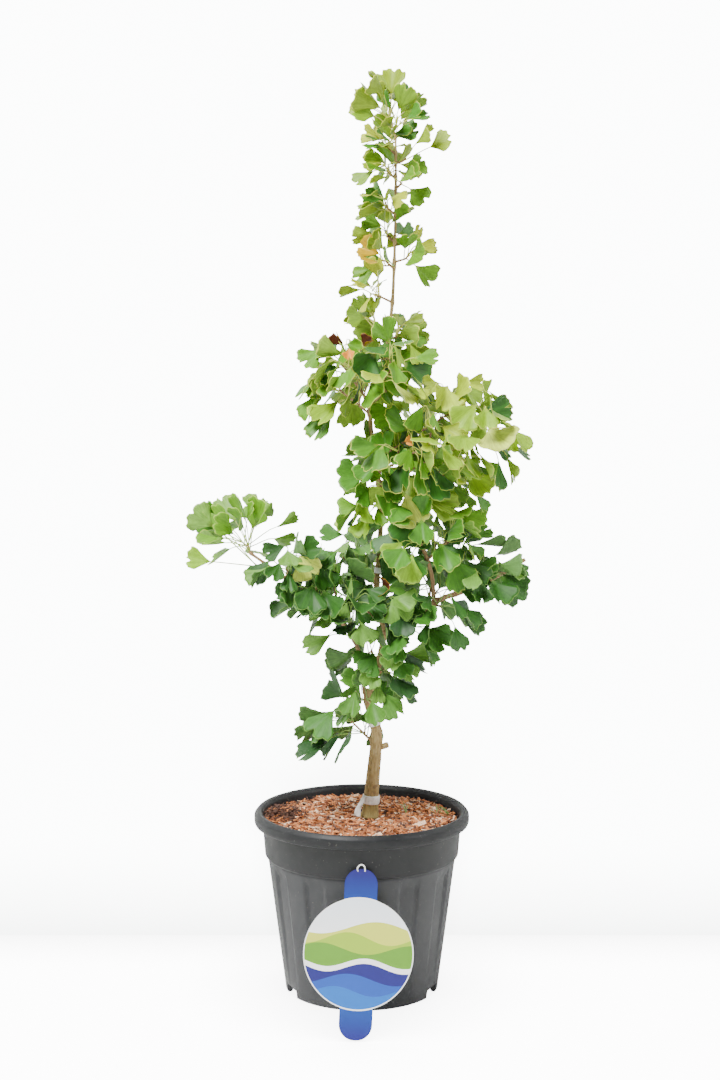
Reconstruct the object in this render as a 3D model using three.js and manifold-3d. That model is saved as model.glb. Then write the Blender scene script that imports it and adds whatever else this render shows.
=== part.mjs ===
// A young grafted ginkgo in a round nursery pot.
// Millimetres, +Z up, the origin at the centre of the pot's flat underside.
import * as THREE from "three";
import { mergeVertices } from "three/addons/utils/BufferGeometryUtils.js";
import Module from "manifold-3d";

const wasm = await Module();
wasm.setup();

// ---- driving dimensions, in millimetres and degrees ----

const gap = 0.3; // between pieces that touch

const pot = {
  height: 262,
  rimRadius: 155,
  lipDrop: 20, // depth of the rolled lip
  lipWidth: 12,
  collarRadius: 143, // just under the lip
  collarTaper: 3.5,
  collarDrop: 44, // depth of the smooth band under the lip
  ledge: 4, // how far the band stands out from the fluted wall
  footRadius: 110.5,
  footRing: 6, // width of the ring that the pot stands on
  footRise: 6, // height of the recess inside that ring
  padRadius: 46, // of the flat pad in the middle of the underside
  wall: 3,
  floor: 16,
  flutes: 12,
  fluteDepth: 4.6,
  fluteHalf: 5, // half the angle that a flute's bottom takes
  fluteSlope: 3, // the angle that each of its sides takes
};
const notch = { headings: [-25, -155, 25, 155], width: 30, height: 13 }; // drains in the foot ring

const soil = { top: 250, slump: 4, ripple: 2.2, even: 40, sides: 20 }; // even is the level patch's radius

// Each limb's points run along its middle; the girths are its radii at the foot and the tip.
const limbs = {
  trunk: {
    points: [[12, 0, soil.top + gap], [14, 0, 285], [21, 0, 365], [17, 0, 392], [10, 0, 420], [11, 0, 437]],
    girth: [11.5, 6.3],
    sides: 10,
  },
  leader: {
    points: [
      [12, 0, 426], [31, -3, 514], [21, 1, 572], [27, 3, 700], [12, -2, 832],
      [31, 2, 903], [43, 0, 990], [47, 0, 1120], [47, 0, 1215],
    ],
    girth: [4.6, 1.4],
    sides: 6,
  },
  left_bough: {
    foot: { on: ["trunk", 0.96], heading: 215, rise: 10 },
    points: [[-7, -9, 501], [-45, -14, 553], [-94, -16, 589], [-158, -12, 635]],
    girth: [3.2, 1.9],
    sides: 6,
  },
  right_bough: {
    foot: { on: ["leader", 0.12], heading: -30, rise: 10 },
    points: [[78, -12, 537], [108, -14, 567], [168, -12, 589], [232, -6, 625]],
    girth: [4.4, 2.8],
    sides: 6,
  },
  right_fork: {
    foot: { on: ["right_bough", 0.38], heading: 200, rise: 60 },
    points: [[97, -22, 612], [76, -20, 668], [61, -14, 694]],
    girth: [3.1, 2.3],
    sides: 6,
  },
};
const spanRings = 2; // rings of a limb from each of its points to the next
const rootFlare = { height: 14, extra: 2.5 };

const cuts = [ // old pruning cuts that stand out of the wood
  { on: ["trunk", 0.53], heading: -8, rise: 38, length: 12, girth: 4.4 },
  { on: ["leader", 0.538], heading: 8, rise: 48, length: 22, girth: 4.4 },
  { on: ["leader", 0.273], heading: 170, rise: 35, length: 6, girth: 3.2 },
];

const tapes = { // bands of white tape round the stem
  foot_tape: { on: ["trunk", 0.137], width: 12 },
  graft_tape: { on: ["trunk", 0.75], width: 14 },
  leader_tape: { on: ["leader", 0.233], width: 8 },
};
const tape = { thick: 0.9, slack: 0.7, sides: 12 };

const tag = {
  discRadius: 75,
  tabWidth: 45,
  tabLength: 39, // how far each tab stands out of the disc
  corner: 21, // radius of the tabs' corners
  thick: 1.2,
  head: [0, -144.5, 214.5], // the middle of its top edge
  lean: 21.5, // from upright, its foot out in front
  swing: -2.4, // sideways, its foot to the left
  hook: 1.3, // radius of the hook's wire
  hookRise: 7,
};

const leaf = {
  golden: 137.508, // from one leaf to the next round a shoot
  spin: 25, // chance turn either way from that
  retry: 0.6, // of a golden turn, from one try at a leaf to the next
  stalks: [0.72, 1.15], // shares of the mass's stalk and blade that a leaf can have
  blades: [0.82, 1.12],
  lastOpen: 0.75, // shares of the lean and the blade in a mass's last cluster
  lastBlade: 0.86,
  lift: 0.15, // how far a stalk bends up, and its blade bends out level
  spread: 0.15,
  facing: 65, // chance turn of the face from straight outward
  skyward: 0.5, // how far the face turns up
  twist: 25, // chance turn of the blade about its middle
  notch: [0.7, 0.9], // the notch's foot, in lengths
  cup: [-0.25, 0.35], // shares of the cupping
  length: 0.78, // of the blade, in its widths
  corner: [0.5, 0.62], // the fan's outer corners, in widths and lengths
  lobe: [0.27, 0.98], // the top of each half
  middle: 0.6, // where it is thickest
  cupping: 0.35, // how far the corners curl, in widths
  thick: 1.05,
  stalkRadius: 1,
  apart: 2.6, // from one stalk's root to the next in a cluster
  clear: 2, // from any limb
  lowest: soil.top + 25,
  tries: 10,
  sliver: 0.05, // faces thinner than this are taken out of a finished mass
};
const shoot = { girth: [2.5, 1.6], steps: 3, sides: 3 };

// What the leaves at each height are like: stalk and blade, and how far they hang over.
const tiers = {
  low: { stalk: 34, blade: 54, droop: [0.4, 1.9], color: "#4c8a35" },
  middle: { stalk: 36, blade: 55, droop: [0.4, 1.9], color: "#6b9f3d" },
  high: { stalk: 36, blade: 57, droop: [0.4, 1.9], color: "#93b53c" },
  top: { stalk: 20, blade: 52, open: [35, 88], droop: [0.2, 0.9], color: "#b1b547" },
};

// Each mass of leaves: the limb that carries its shoot and at what share of it, the shoot's heading
// (0 is +X and -90 the front), rise and reach, its clusters of leaves, the leaves in each, and its tier.
// The last entry is what differs from the tier and the usual: the lift of the shoot's end, the share of
// the shoot below its first cluster, the room round the shoot that its leaves keep to, and the rest.
const single = { open: [0, 10], droop: [0, 0.15] }; // a lone leaf that goes on from its shoot
const masses = {
  low_left: massOn("trunk", 0.595, 172, 44, 38, 2, 5, "low", { stalk: 40, blade: 62, room: 100 }),
  low_scion: massOn("trunk", 0.9, -100, 25, 20, 1, 6, "low"),
  low_right: massOn("leader", 0.045, -40, 35, 30, 2, 3, "low"),
  low_back: massOn("leader", 0.057, 100, 20, 46, 2, 3, "low"),
  left_near: massOn("left_bough", 0.3, -130, 60, 26, 2, 4, "low"),
  left_under: massOn("left_bough", 0.55, -125, 50, 26, 2, 4, "low"),
  left_over: massOn("left_bough", 0.44, 120, 75, 62, 3, 3, "low"),
  left_back: massOn("left_bough", 0.46, 88, 24, 60, 3, 3, "low"),
  left_outer: massOn("left_bough", 0.78, -70, 35, 18, 2, 5, "low", { room: 84 }),
  left_far: massOn("left_bough", 0.9, 183, -6, 10, 1, 1, "middle", {
    ...single, stalk: 88, blade: 56, room: 136,
  }),
  left_tip: massOn("left_bough", 1, 125, 60, 12, 1, 16, "middle", {
    stalk: 42, blade: 56, open: [10, 115], droop: [0, 0.45], room: 104,
  }),
  mid_left: massOn("leader", 0.145, 205, 36, 50, 3, 4, "low"),
  mid_front: massOn("leader", 0.157, -95, 20, 34, 3, 4, "low"),
  mid_back: massOn("leader", 0.197, 95, 22, 60, 3, 3, "low"),
  mid_high: massOn("leader", 0.212, 178, 38, 50, 3, 3, "low"),
  right_near: massOn("right_bough", 0.14, -80, 0, 28, 2, 3, "low"),
  right_under: massOn("right_bough", 0.37, -75, 0, 28, 2, 4, "low"),
  right_over: massOn("right_bough", 0.52, 80, 72, 50, 3, 3, "low"),
  right_back: massOn("right_bough", 0.32, 84, 28, 74, 3, 3, "low"),
  right_outer: massOn("right_bough", 0.68, -85, 45, 18, 2, 5, "low", { stalk: 32, blade: 50, room: 84 }),
  right_upper: massOn("right_bough", 0.72, 80, 42, 18, 1, 5, "low"),
  fork_right: massOn("right_fork", 0.45, 0, 45, 44, 3, 3, "middle"),
  fork_front: massOn("right_fork", 0.6, -100, 25, 28, 2, 4, "middle"),
  fork_tip: massOn("right_fork", 1, 40, 65, 36, 2, 5, "middle"),
  column_left: massOn("leader", 0.348, -160, 20, 14, 2, 3, "middle", { stalk: 26, blade: 48, room: 66 }),
  column_front: massOn("leader", 0.376, -60, 28, 38, 3, 3, "middle"),
  column_back: massOn("leader", 0.386, 85, 28, 56, 3, 3, "middle"),
  column_right: massOn("leader", 0.336, 0, 42, 72, 3, 3, "middle"),
  column_outer: massOn("leader", 0.365, -16, 20, 96, 3, 3, "middle", { first: 0.55 }),
  upper_right: massOn("leader", 0.391, -10, 21, 168, 6, 3, "high", { lift: 12, first: 0.42 }),
  upper_right_high: massOn("leader", 0.434, 5, 30, 140, 4, 4, "high", { lift: 4, first: 0.4 }),
  upper_right_front: massOn("leader", 0.409, -38, 26, 100, 3, 3, "high", { first: 0.4 }),
  upper_right_back: massOn("leader", 0.424, 42, 24, 110, 3, 4, "high", { first: 0.4 }),
  upper_left: massOn("leader", 0.515, 172, 38, 52, 3, 3, "high"),
  upper_left_front: massOn("leader", 0.522, -150, 64, 64, 3, 4, "high"),
  upper_left_back: massOn("leader", 0.531, 150, 50, 68, 3, 4, "high"),
  upper_mid: massOn("leader", 0.556, -46, 45, 48, 3, 3, "high"),
  upper_mid_back: massOn("leader", 0.58, 62, 45, 50, 3, 4, "high"),
  top_first: massOn("leader", 0.665, 178, 15, 16, 1, 4, "top", { stalk: 26 }),
  top_behind: massOn("leader", 0.65, 40, 10, 14, 1, 3, "top", { stalk: 26 }),
  top_second: massOn("leader", 0.715, -170, 25, 20, 1, 5, "top", { stalk: 30 }),
  top_right: massOn("leader", 0.785, -15, 15, 16, 1, 4, "top"),
  top_third: massOn("leader", 0.775, -160, 40, 14, 2, 3, "top"),
  top_fourth: massOn("leader", 0.82, 140, 40, 14, 2, 3, "top"),
  top_fifth: massOn("leader", 0.868, -172, 42, 14, 2, 4, "top"),
  top_sixth: massOn("leader", 0.93, 165, 42, 14, 2, 4, "top"),
  top_front: massOn("leader", 0.912, -55, 25, 14, 1, 5, "top"),
  top_seventh: massOn("leader", 0.972, -165, 40, 14, 2, 5, "top"),
  top_far: massOn("leader", 0.955, -12, 15, 8, 1, 1, "top", { ...single, stalk: 44, blade: 52, room: 110 }),
  top_tuft: massOn("leader", 1, 175, 72, 26, 2, 7, "top", {
    stalk: 34, open: [25, 80], droop: [0, 0.4], room: 100,
  }),
};
const usual = { lift: 0, first: 0.3, open: [45, 80], behind: 12 }; // what a mass has if it says nothing else

function massOn(limb, share, heading, rise, reach, clusters, leaves, tier, own) {
  return { on: [limb, share], heading, rise, reach, clusters, leaves, tier, ...own };
}

// ---- directions and chance ----

const point = (x, y, z) => new THREE.Vector3(x, y, z);
const up = point(0, 0, 1);
const radians = THREE.MathUtils.degToRad;

function heading(turned, rise) {
  const flat = Math.cos(radians(rise));
  return point(Math.cos(radians(turned)) * flat, Math.sin(radians(turned)) * flat, Math.sin(radians(rise)));
}

// The unit vector square to a way that lies nearest to a hint.
function square(way, hint) {
  return hint.clone().addScaledVector(way, -hint.dot(way)).normalize();
}

// A seeded stream of chance numbers: 32-bit steps, the same in any language.
function dice(seed) {
  let state = seed >>> 0;
  return (low, high) => {
    state = (state + 0x6d2b79f5) >>> 0;
    let mixed = Math.imul(state ^ (state >>> 15), 1 | state);
    mixed = (mixed + Math.imul(mixed ^ (mixed >>> 7), 61 | mixed)) ^ mixed;
    return low + ((high - low) * ((mixed ^ (mixed >>> 14)) >>> 0)) / 4294967296;
  };
}

// ---- solids from three.js geometry ----

function solidOf(geometry) {
  geometry.deleteAttribute("normal");
  geometry.deleteAttribute("uv");
  const merged = mergeVertices(geometry, 1e-4);
  return new wasm.Manifold(
    new wasm.Mesh({
      numProp: 3,
      vertProperties: new Float32Array(merged.getAttribute("position").array),
      triVerts: new Uint32Array(merged.index.array),
    }),
  );
}

function meshOf(name, solid, look) {
  const { vertProperties, triVerts } = solid.getMesh();
  const geometry = new THREE.BufferGeometry();
  geometry.setAttribute("position", new THREE.BufferAttribute(vertProperties, 3));
  geometry.setIndex(new THREE.BufferAttribute(triVerts, 1));
  geometry.computeVertexNormals();
  const mesh = new THREE.Mesh(geometry, new THREE.MeshStandardMaterial({ metalness: 0, ...look }));
  mesh.name = name;
  return mesh;
}

const join = (solids) => solids.reduce((whole, next) => whole.add(next));

// A tube along a line of points: a cylinder whose rings are carried to them.
function tube(line, girthAt, sides, firstWay) {
  const last = line.length - 1;
  const geometry = new THREE.CylinderGeometry(1, 1, 1, sides, last);
  const ways = line.map((_, i) =>
    line[Math.min(i + 1, last)].clone().sub(line[Math.max(i - 1, 0)]).normalize(),
  );
  if (firstWay) ways[0] = firstWay;
  let side = square(ways[0], Math.abs(ways[0].x) < 0.9 ? point(1, 0, 0) : point(0, 1, 0));
  const frames = ways.map((way) => {
    side = square(way, side);
    return { side, across: side.clone().cross(way) };
  });
  const run = line.map((p, i) => (i ? p.distanceTo(line[i - 1]) : 0));
  for (let i = 1; i <= last; i++) run[i] += run[i - 1];
  const place = geometry.getAttribute("position");
  for (let i = 0; i < place.count; i++) {
    const ring = Math.round((place.getY(i) + 0.5) * last);
    const girth = girthAt(run[ring] / run[last]);
    const at = line[ring]
      .clone()
      .addScaledVector(frames[ring].side, place.getX(i) * girth)
      .addScaledVector(frames[ring].across, place.getZ(i) * girth);
    place.setXYZ(i, at.x, at.y, at.z);
  }
  return solidOf(geometry);
}

// ---- the wood ----

// The place and way at a share of a line's length.
function along(line, share) {
  const spans = line.slice(1).map((p, i) => p.distanceTo(line[i]));
  let left = share * spans.reduce((sum, span) => sum + span, 0);
  let i = 0;
  while (i < spans.length - 1 && left > spans[i]) left -= spans[i++];
  return {
    place: line[i].clone().lerp(line[i + 1], Math.min(left / spans[i], 1)),
    way: line[i + 1].clone().sub(line[i]).normalize(),
  };
}

const taper = ([foot, tip]) => (share) => foot + (tip - foot) * share;

// Where a shoot, bough or cut sits: a gap clear of the limb's bark, or of its tip.
function seat({ on: [name, share], heading: turned, rise }) {
  const { place, way } = along(limbs[name].line, share);
  const out = share < 1 ? square(way, heading(turned, rise)) : way;
  const girth = share < 1 ? taper(limbs[name].girth)(share) : 0;
  return { middle: place, start: place.clone().addScaledVector(out, girth + gap), out };
}

for (const limb of Object.values(limbs)) {
  const points = limb.points.map((p) => point(...p));
  if (limb.foot) {
    const { start, out } = seat(limb.foot);
    points.unshift(start);
    limb.firstWay = out;
  }
  limb.line = new THREE.CatmullRomCurve3(points, false, "catmullrom", 0.5).getPoints(
    spanRings * (points.length - 1),
  );
}

function limbSolid({ line, girth, sides, firstWay }) {
  return tube(line, taper(girth), sides, firstWay);
}

function trunkSolid() {
  const { line, girth, sides } = limbs.trunk;
  const reach = line[line.length - 1].z - line[0].z;
  const flared = (share) =>
    taper(girth)(share) + rootFlare.extra * Math.max(0, 1 - (share * reach) / rootFlare.height) ** 2;
  const pieces = [tube(line, flared, sides, up), limbSolid(limbs.leader)];
  for (const cut of cuts) {
    const { middle } = seat(cut);
    const way = heading(cut.heading, cut.rise);
    const bark = taper(limbs[cut.on[0]].girth)(cut.on[1]);
    const end = middle.clone().addScaledVector(way, bark + cut.length);
    pieces.push(tube([middle, end], () => cut.girth, 7));
  }
  return join(pieces);
}

// A band that follows the limb it is wound on: a wide tube less a longer, narrower one.
function tapeSolid({ on: [name, share], width }) {
  const { line, girth } = limbs[name];
  const reach = new THREE.CatmullRomCurve3(line).getLength();
  const inner = (taper(girth)(share) + tape.slack) / Math.cos(Math.PI / tape.sides);
  const stretch = (offsets) => offsets.map((offset) => along(line, share + (offset * width) / reach).place);
  const hole = tube(stretch([-0.7, -0.5, 0, 0.5, 0.7]), () => inner, tape.sides);
  return tube(stretch([-0.5, 0, 0.5]), () => inner + tape.thick, tape.sides).subtract(hole);
}

// ---- leaves ----

function shootLine(mass) {
  const line = [seat(mass).start];
  for (let k = 0; k < shoot.steps; k++) {
    const way = heading(mass.heading, mass.rise + (mass.lift * (k + 0.5)) / shoot.steps);
    line.push(line[k].clone().addScaledVector(way, mass.reach / shoot.steps));
  }
  return line;
}

// The points of a leaf's flat outline: the neck, then round the fan from its right corner.
function outline({ neck, way, face, blade, notchAt, cup }) {
  const side = way.clone().cross(face);
  const at = (across, far, curl) =>
    neck
      .clone()
      .addScaledVector(way, far * blade * leaf.length)
      .addScaledVector(side, across * blade)
      .addScaledVector(face, curl * blade);
  const curl = cup * leaf.cupping;
  const [cornerX, cornerY] = leaf.corner;
  const [lobeX, lobeY] = leaf.lobe;
  return [
    at(0, 0, 0),
    at(cornerX, cornerY, curl),
    at(lobeX, lobeY, curl * 0.4),
    at(0, notchAt, 0),
    at(-lobeX, lobeY, curl * 0.4),
    at(-cornerX, cornerY, curl),
  ];
}

// Where one leaf of a cluster would be on one of its tries.
function leafPlan(mass, line, cluster, number, attempt) {
  const roll = dice(mass.seed * 7919 + cluster * 131 + number * 17 + attempt * 101);
  for (let k = 0; k < 3; k++) roll(0, 1);
  const share = mass.clusters > 1 ? mass.first + ((1 - mass.first) * cluster) / (mass.clusters - 1) : 1;
  const last = cluster === mass.clusters - 1;
  const aside = ((number - (mass.leaves - 1) / 2) * leaf.apart) / mass.reach;
  const { place: root, way: axis } = along(line, Math.min(Math.max(share + aside, 0.05), 0.98));
  const turns = cluster * mass.leaves + number + attempt * leaf.retry;
  const turned = leaf.golden * turns + roll(-leaf.spin, leaf.spin);
  const lean = radians(roll(...mass.open) * (last ? leaf.lastOpen : 1));
  const radial = square(axis, Math.abs(axis.z) < 0.9 ? up : point(0, -1, 0));
  radial.applyAxisAngle(axis, radians(turned));
  const stalkWay = axis
    .clone()
    .multiplyScalar(Math.cos(lean))
    .addScaledVector(radial, Math.sin(lean))
    .normalize()
    .addScaledVector(up, leaf.lift)
    .normalize();
  const stalk = mass.stalk * roll(...leaf.stalks);
  const blade = mass.blade * roll(...leaf.blades) * (last ? leaf.lastBlade : 1);
  const neck = root.clone().addScaledVector(stalkWay, stalk);
  const level = point(stalkWay.x, stalkWay.y, 0.0001).normalize();
  const way = stalkWay
    .clone()
    .addScaledVector(up, -roll(...mass.droop))
    .addScaledVector(level, leaf.spread)
    .normalize();
  const away = point(neck.x - mass.middle.x, neck.y - mass.middle.y - mass.behind, 0.001).normalize();
  away.applyAxisAngle(up, radians(roll(-leaf.facing, leaf.facing)));
  const light = away.addScaledVector(up, leaf.skyward).normalize();
  const face = square(way, light).applyAxisAngle(way, radians(roll(-leaf.twist, leaf.twist)));
  const plan = { root, neck, way, face, blade, notchAt: roll(...leaf.notch), cup: roll(...leaf.cup) };
  plan.edge = outline(plan);
  plan.centre = root.clone().lerp(plan.edge[3], 0.5);
  plan.size = root.distanceTo(plan.edge[3]) / 2 + blade * 0.35;
  return plan;
}

// Whether a leaf comes within its clearance of any limb.
const grains = [];
for (const { line, girth } of Object.values(limbs)) {
  const count = 60;
  for (let k = 0; k <= count; k++) {
    grains.push({ place: along(line, k / count).place, girth: taper(girth)(k / count) });
  }
}
function nearWood({ root, neck, edge }) {
  const probes = [0.35, 0.6, 0.85].map((share) => root.clone().lerp(neck, share));
  edge.forEach((p, i) => probes.push(p, p.clone().lerp(edge[(i + 1) % edge.length], 0.5)));
  for (const k of [2, 3, 4]) probes.push(edge[0].clone().lerp(edge[k], 0.5));
  return probes.some((p) => grains.some(({ place, girth }) => p.distanceTo(place) < girth + leaf.clear));
}

// Whether two leaves pass through each other: an edge or stalk of one through the blade of the other.
function crosses(one, other) {
  if (one.centre.distanceTo(other.centre) > one.size + other.size) return false;
  const target = point(0, 0, 0);
  const pierces = ({ root, neck, edge }, { edge: blade }) => {
    const rods = edge.map((p, i) => [p, edge[(i + 1) % edge.length]]);
    rods.push([root.clone().lerp(neck, 0.25), neck]);
    return rods.some(([from, to]) => {
      const ray = new THREE.Ray(from, to.clone().sub(from).normalize());
      return [1, 2, 3, 4].some(
        (k) =>
          ray.intersectTriangle(blade[0], blade[k], blade[k + 1], false, target) &&
          target.distanceTo(from) <= from.distanceTo(to),
      );
    });
  };
  return pierces(one, other) || pierces(other, one);
}

// A leaf: a three-sided stalk that opens into a fan, thickest at its middle.
function leafSolid({ root, neck, way, face, blade, edge }, extra = 0) {
  const stalk = leaf.stalkRadius + extra;
  const stalkWay = neck.clone().sub(root).normalize();
  const bend = stalkWay.clone().add(way).normalize();
  const sideAtNeck = square(bend, way.clone().cross(face));
  const corners = (at, along, side) => {
    const over = side.clone().cross(along);
    return [[0.87, 0.5], [-0.87, 0.5], [0, -1]].map(([x, z]) =>
      at.clone().addScaledVector(side, x * stalk).addScaledVector(over, z * stalk),
    );
  };
  const middle = neck.clone().addScaledVector(way, blade * leaf.length * leaf.middle);
  const points = [
    ...corners(root, stalkWay, square(stalkWay, sideAtNeck)),
    ...corners(neck, bend, sideAtNeck),
    ...edge.slice(1).map((p) => p.clone().addScaledVector(p.clone().sub(middle).normalize(), extra)),
    middle.clone().addScaledVector(face, -leaf.thick - extra),
  ];
  const back = 11;
  const rim = [3, 6, 7, 8, 9, 10, 4]; // from the neck's right side round to its left
  const dip = 8; // the notch, which sees the whole front
  const faces = [[0, 1, 2], [1, 0, 3], [1, 3, 4], [0, 2, 5], [0, 5, 3], [2, 1, 4], [2, 4, 5]];
  faces.push([dip, 4, 3], [back, 3, 5], [back, 5, 4]);
  rim.slice(1).forEach((to, i) => {
    faces.push([back, to, rim[i]]);
    if (rim[i] !== dip && to !== dip) faces.push([dip, rim[i], to]);
  });
  const geometry = new THREE.BufferGeometry().setFromPoints(points);
  geometry.setIndex(faces.flat());
  return solidOf(geometry);
}

const boxesMeet = (a, b) =>
  a.min.every((low, i) => low <= b.max[i]) && b.min.every((low, i) => low <= a.max[i]);
const touches = (solid, others) =>
  others.some(
    (other) => boxesMeet(solid.boundingBox(), other.boundingBox()) && solid.intersect(other).volume() > 0,
  );

// A mass before its leaves: its settings in full and its bare shoot.
function sprout([name, settings], index) {
  const mass = { ...usual, ...tiers[settings.tier], seed: index + 1, ...settings };
  const { middle, out } = seat(mass);
  mass.middle = middle;
  mass.room ??= mass.reach * 0.5 + mass.stalk * 0.8 + mass.blade * 0.62;
  const line = shootLine(mass);
  return { name, mass, line, solid: tube(line, taper(shoot.girth), shoot.sides, out) };
}

// The shoot with the leaves that fit, fused.
const allLeaves = [];
function grow({ mass, line, solid }, others) {
  const heart = line[0].clone().lerp(line[shoot.steps], 0.5);
  const fits = (plan) =>
    plan.edge.every((p) => p.z > leaf.lowest && p.distanceTo(heart) <= mass.room) &&
    !nearWood(plan) &&
    !allLeaves.some((other) => crosses(plan, other));
  for (let cluster = 0; cluster < mass.clusters; cluster++) {
    for (let number = 0; number < mass.leaves; number++) {
      for (let attempt = 0; attempt < leaf.tries; attempt++) {
        const plan = leafPlan(mass, line, cluster, number, attempt);
        if (!fits(plan)) continue;
        allLeaves.push(plan);
        if (!touches(leafSolid(plan, gap), others)) solid = solid.add(leafSolid(plan));
        break;
      }
    }
  }
  return solid.asOriginal().simplify(leaf.sliver);
}

// ---- the pot and its soil ----

const lipFoot = pot.height - pot.lipDrop;
const collarFoot = lipFoot - pot.collarDrop;
const bandRadius = pot.collarRadius - pot.collarTaper; // the band's radius at its foot
const wallRadius = bandRadius - pot.ledge; // the fluted wall's radius under the ledge
const innerRadius = wallRadius - pot.fluteDepth - pot.wall;
const innerFoot = pot.footRadius - pot.fluteDepth - pot.wall;
const columnsPerFlute = 4;
const columns = pot.flutes * columnsPerFlute;
const widestChord = 360 / pot.flutes - 2 * (pot.fluteHalf + pot.fluteSlope);

// Radius, height and share of the flutes' depth, from the middle of the underside round to the soil side.
function potProfile() {
  const { height, rimRadius, lipWidth, footRadius, footRing, footRise, padRadius, floor, wall } = pot;
  const lipInner = rimRadius - lipWidth;
  return [
    [0, 0, 0],
    [padRadius, 0, 0],
    [padRadius + 3, footRise, 0],
    [footRadius - footRing - 2, footRise, 0],
    [footRadius - footRing, 0, 0],
    [footRadius, 0, 0],
    [footRadius + (wallRadius - footRadius) * 0.5, collarFoot * 0.5, 0.6],
    [wallRadius - 1, collarFoot - 12, 1],
    [wallRadius, collarFoot - 3, 0],
    [bandRadius, collarFoot, 0],
    [pot.collarRadius, lipFoot, 0],
    [rimRadius - 1, lipFoot + 2, 0],
    [rimRadius, height - 6, 0],
    [rimRadius - lipWidth * 0.5, height, 0],
    [lipInner, height - 3, 0],
    [pot.collarRadius - wall, lipFoot, 0],
    [bandRadius - wall, collarFoot + 3, 0],
    [innerRadius, collarFoot - 4, 0],
    [innerFoot, floor, 0],
    [0, floor, 0],
  ];
}

function potSolid() {
  const profile = potProfile();
  const geometry = new THREE.LatheGeometry(
    profile.map(([r, z]) => new THREE.Vector2(r, z)),
    columns,
  );
  const place = geometry.getAttribute("position");
  const step = 360 / pot.flutes;
  const { fluteHalf, fluteSlope } = pot;
  const turns = [-fluteHalf, fluteHalf, fluteHalf + fluteSlope, step - fluteHalf - fluteSlope];
  for (let i = 0; i < place.count; i++) {
    const [r, z, share] = profile[i % profile.length];
    const column = Math.floor(i / profile.length);
    const turned = Math.floor(column / columnsPerFlute) * step + turns[column % columnsPerFlute];
    const sunk = column % columnsPerFlute < 2 ? share * pot.fluteDepth : 0;
    const at = heading(turned, 0).multiplyScalar(r - sunk);
    place.setXYZ(i, at.x, at.y, z);
  }
  let solid = solidOf(geometry);
  for (const turned of notch.headings) {
    const block = new THREE.BoxGeometry(pot.footRing * 3, notch.width, notch.height * 2);
    block.translate(pot.footRadius, 0, 0);
    block.rotateZ(radians(turned));
    solid = solid.subtract(solidOf(block));
  }
  return solid;
}

// The compost fills the pot; it is level round the trunk, rippled further out and slumped at the wall.
function soilSolid() {
  const chord = Math.cos(radians(widestChord / 2));
  const inside = (r) => r * chord - gap;
  const rimAt = pot.collarRadius - pot.wall;
  const profile = [
    [0, pot.floor + gap],
    [inside(innerFoot), pot.floor + gap],
    [inside(innerRadius), collarFoot - 4],
    [inside(bandRadius - pot.wall), collarFoot + 3 + gap],
    [inside(rimAt), soil.top - soil.slump],
    [inside(rimAt) * 0.82, soil.top],
    [inside(rimAt) * 0.56, soil.top],
    [soil.even, soil.top],
    [0, soil.top],
  ];
  const geometry = new THREE.LatheGeometry(
    profile.map(([r, z]) => new THREE.Vector2(r, z)),
    soil.sides,
  );
  const place = geometry.getAttribute("position");
  for (let i = 0; i < place.count; i++) {
    const row = i % profile.length;
    const [r, z] = profile[row];
    const turned = (Math.floor(i / profile.length) * 360) / soil.sides;
    const ripple = row === 5 || row === 6 ? Math.sin(radians(turned * (row - 2))) * soil.ripple : 0;
    const at = heading(turned, 0).multiplyScalar(r);
    place.setXYZ(i, at.x, at.y, z + ripple);
  }
  return solidOf(geometry);
}

// ---- the plant's tag ----

// A plain disc with a rounded tab above and below it, which hangs from the collar and leans out.
function tagSolid() {
  const { discRadius, tabWidth, tabLength, corner, thick, lean } = tag;
  const half = tabWidth / 2;
  const opening = Math.asin(half / discRadius);
  const far = discRadius + tabLength;
  const quarter = Math.PI / 2;
  const shape = new THREE.Shape();
  shape.absarc(0, 0, discRadius, quarter - opening, opening - quarter, true);
  shape.absarc(half - corner, corner - far, corner, 0, -quarter, true);
  shape.absarc(corner - half, corner - far, corner, -quarter, -2 * quarter, true);
  shape.absarc(0, 0, discRadius, opening - quarter - 2 * opening, quarter + opening - 4 * quarter, true);
  shape.absarc(corner - half, far - corner, corner, 2 * quarter, quarter, true);
  shape.absarc(half - corner, far - corner, corner, quarter, 0, true);
  const plate = new THREE.ExtrudeGeometry(shape, { depth: thick, bevelEnabled: false, curveSegments: 4 });
  plate.translate(0, -far, -thick / 2);
  plate.rotateZ(radians(tag.swing));
  plate.rotateX(radians(90 - lean));
  const head = point(...tag.head);
  plate.translate(head.x, head.y, head.z);
  const rise = head.z + tag.hookRise;
  const bark = bandRadius + (pot.collarTaper * (rise - collarFoot)) / pot.collarDrop;
  const wire = [
    head.clone().add(point(0, -1.6, -6)),
    head.clone().add(point(0, -1.6, 2)),
    point(head.x, head.y, rise),
    point(head.x, -bark - gap, rise),
  ];
  return solidOf(plate).add(tube(wire, () => tag.hook, 6));
}

// ---- the object ----

const wood = { color: "#8a7458", roughness: 0.85 };
const plastic = { color: "#33363a", roughness: 0.5 };
const white = { color: "#e9e9e4", roughness: 0.6 };

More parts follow.
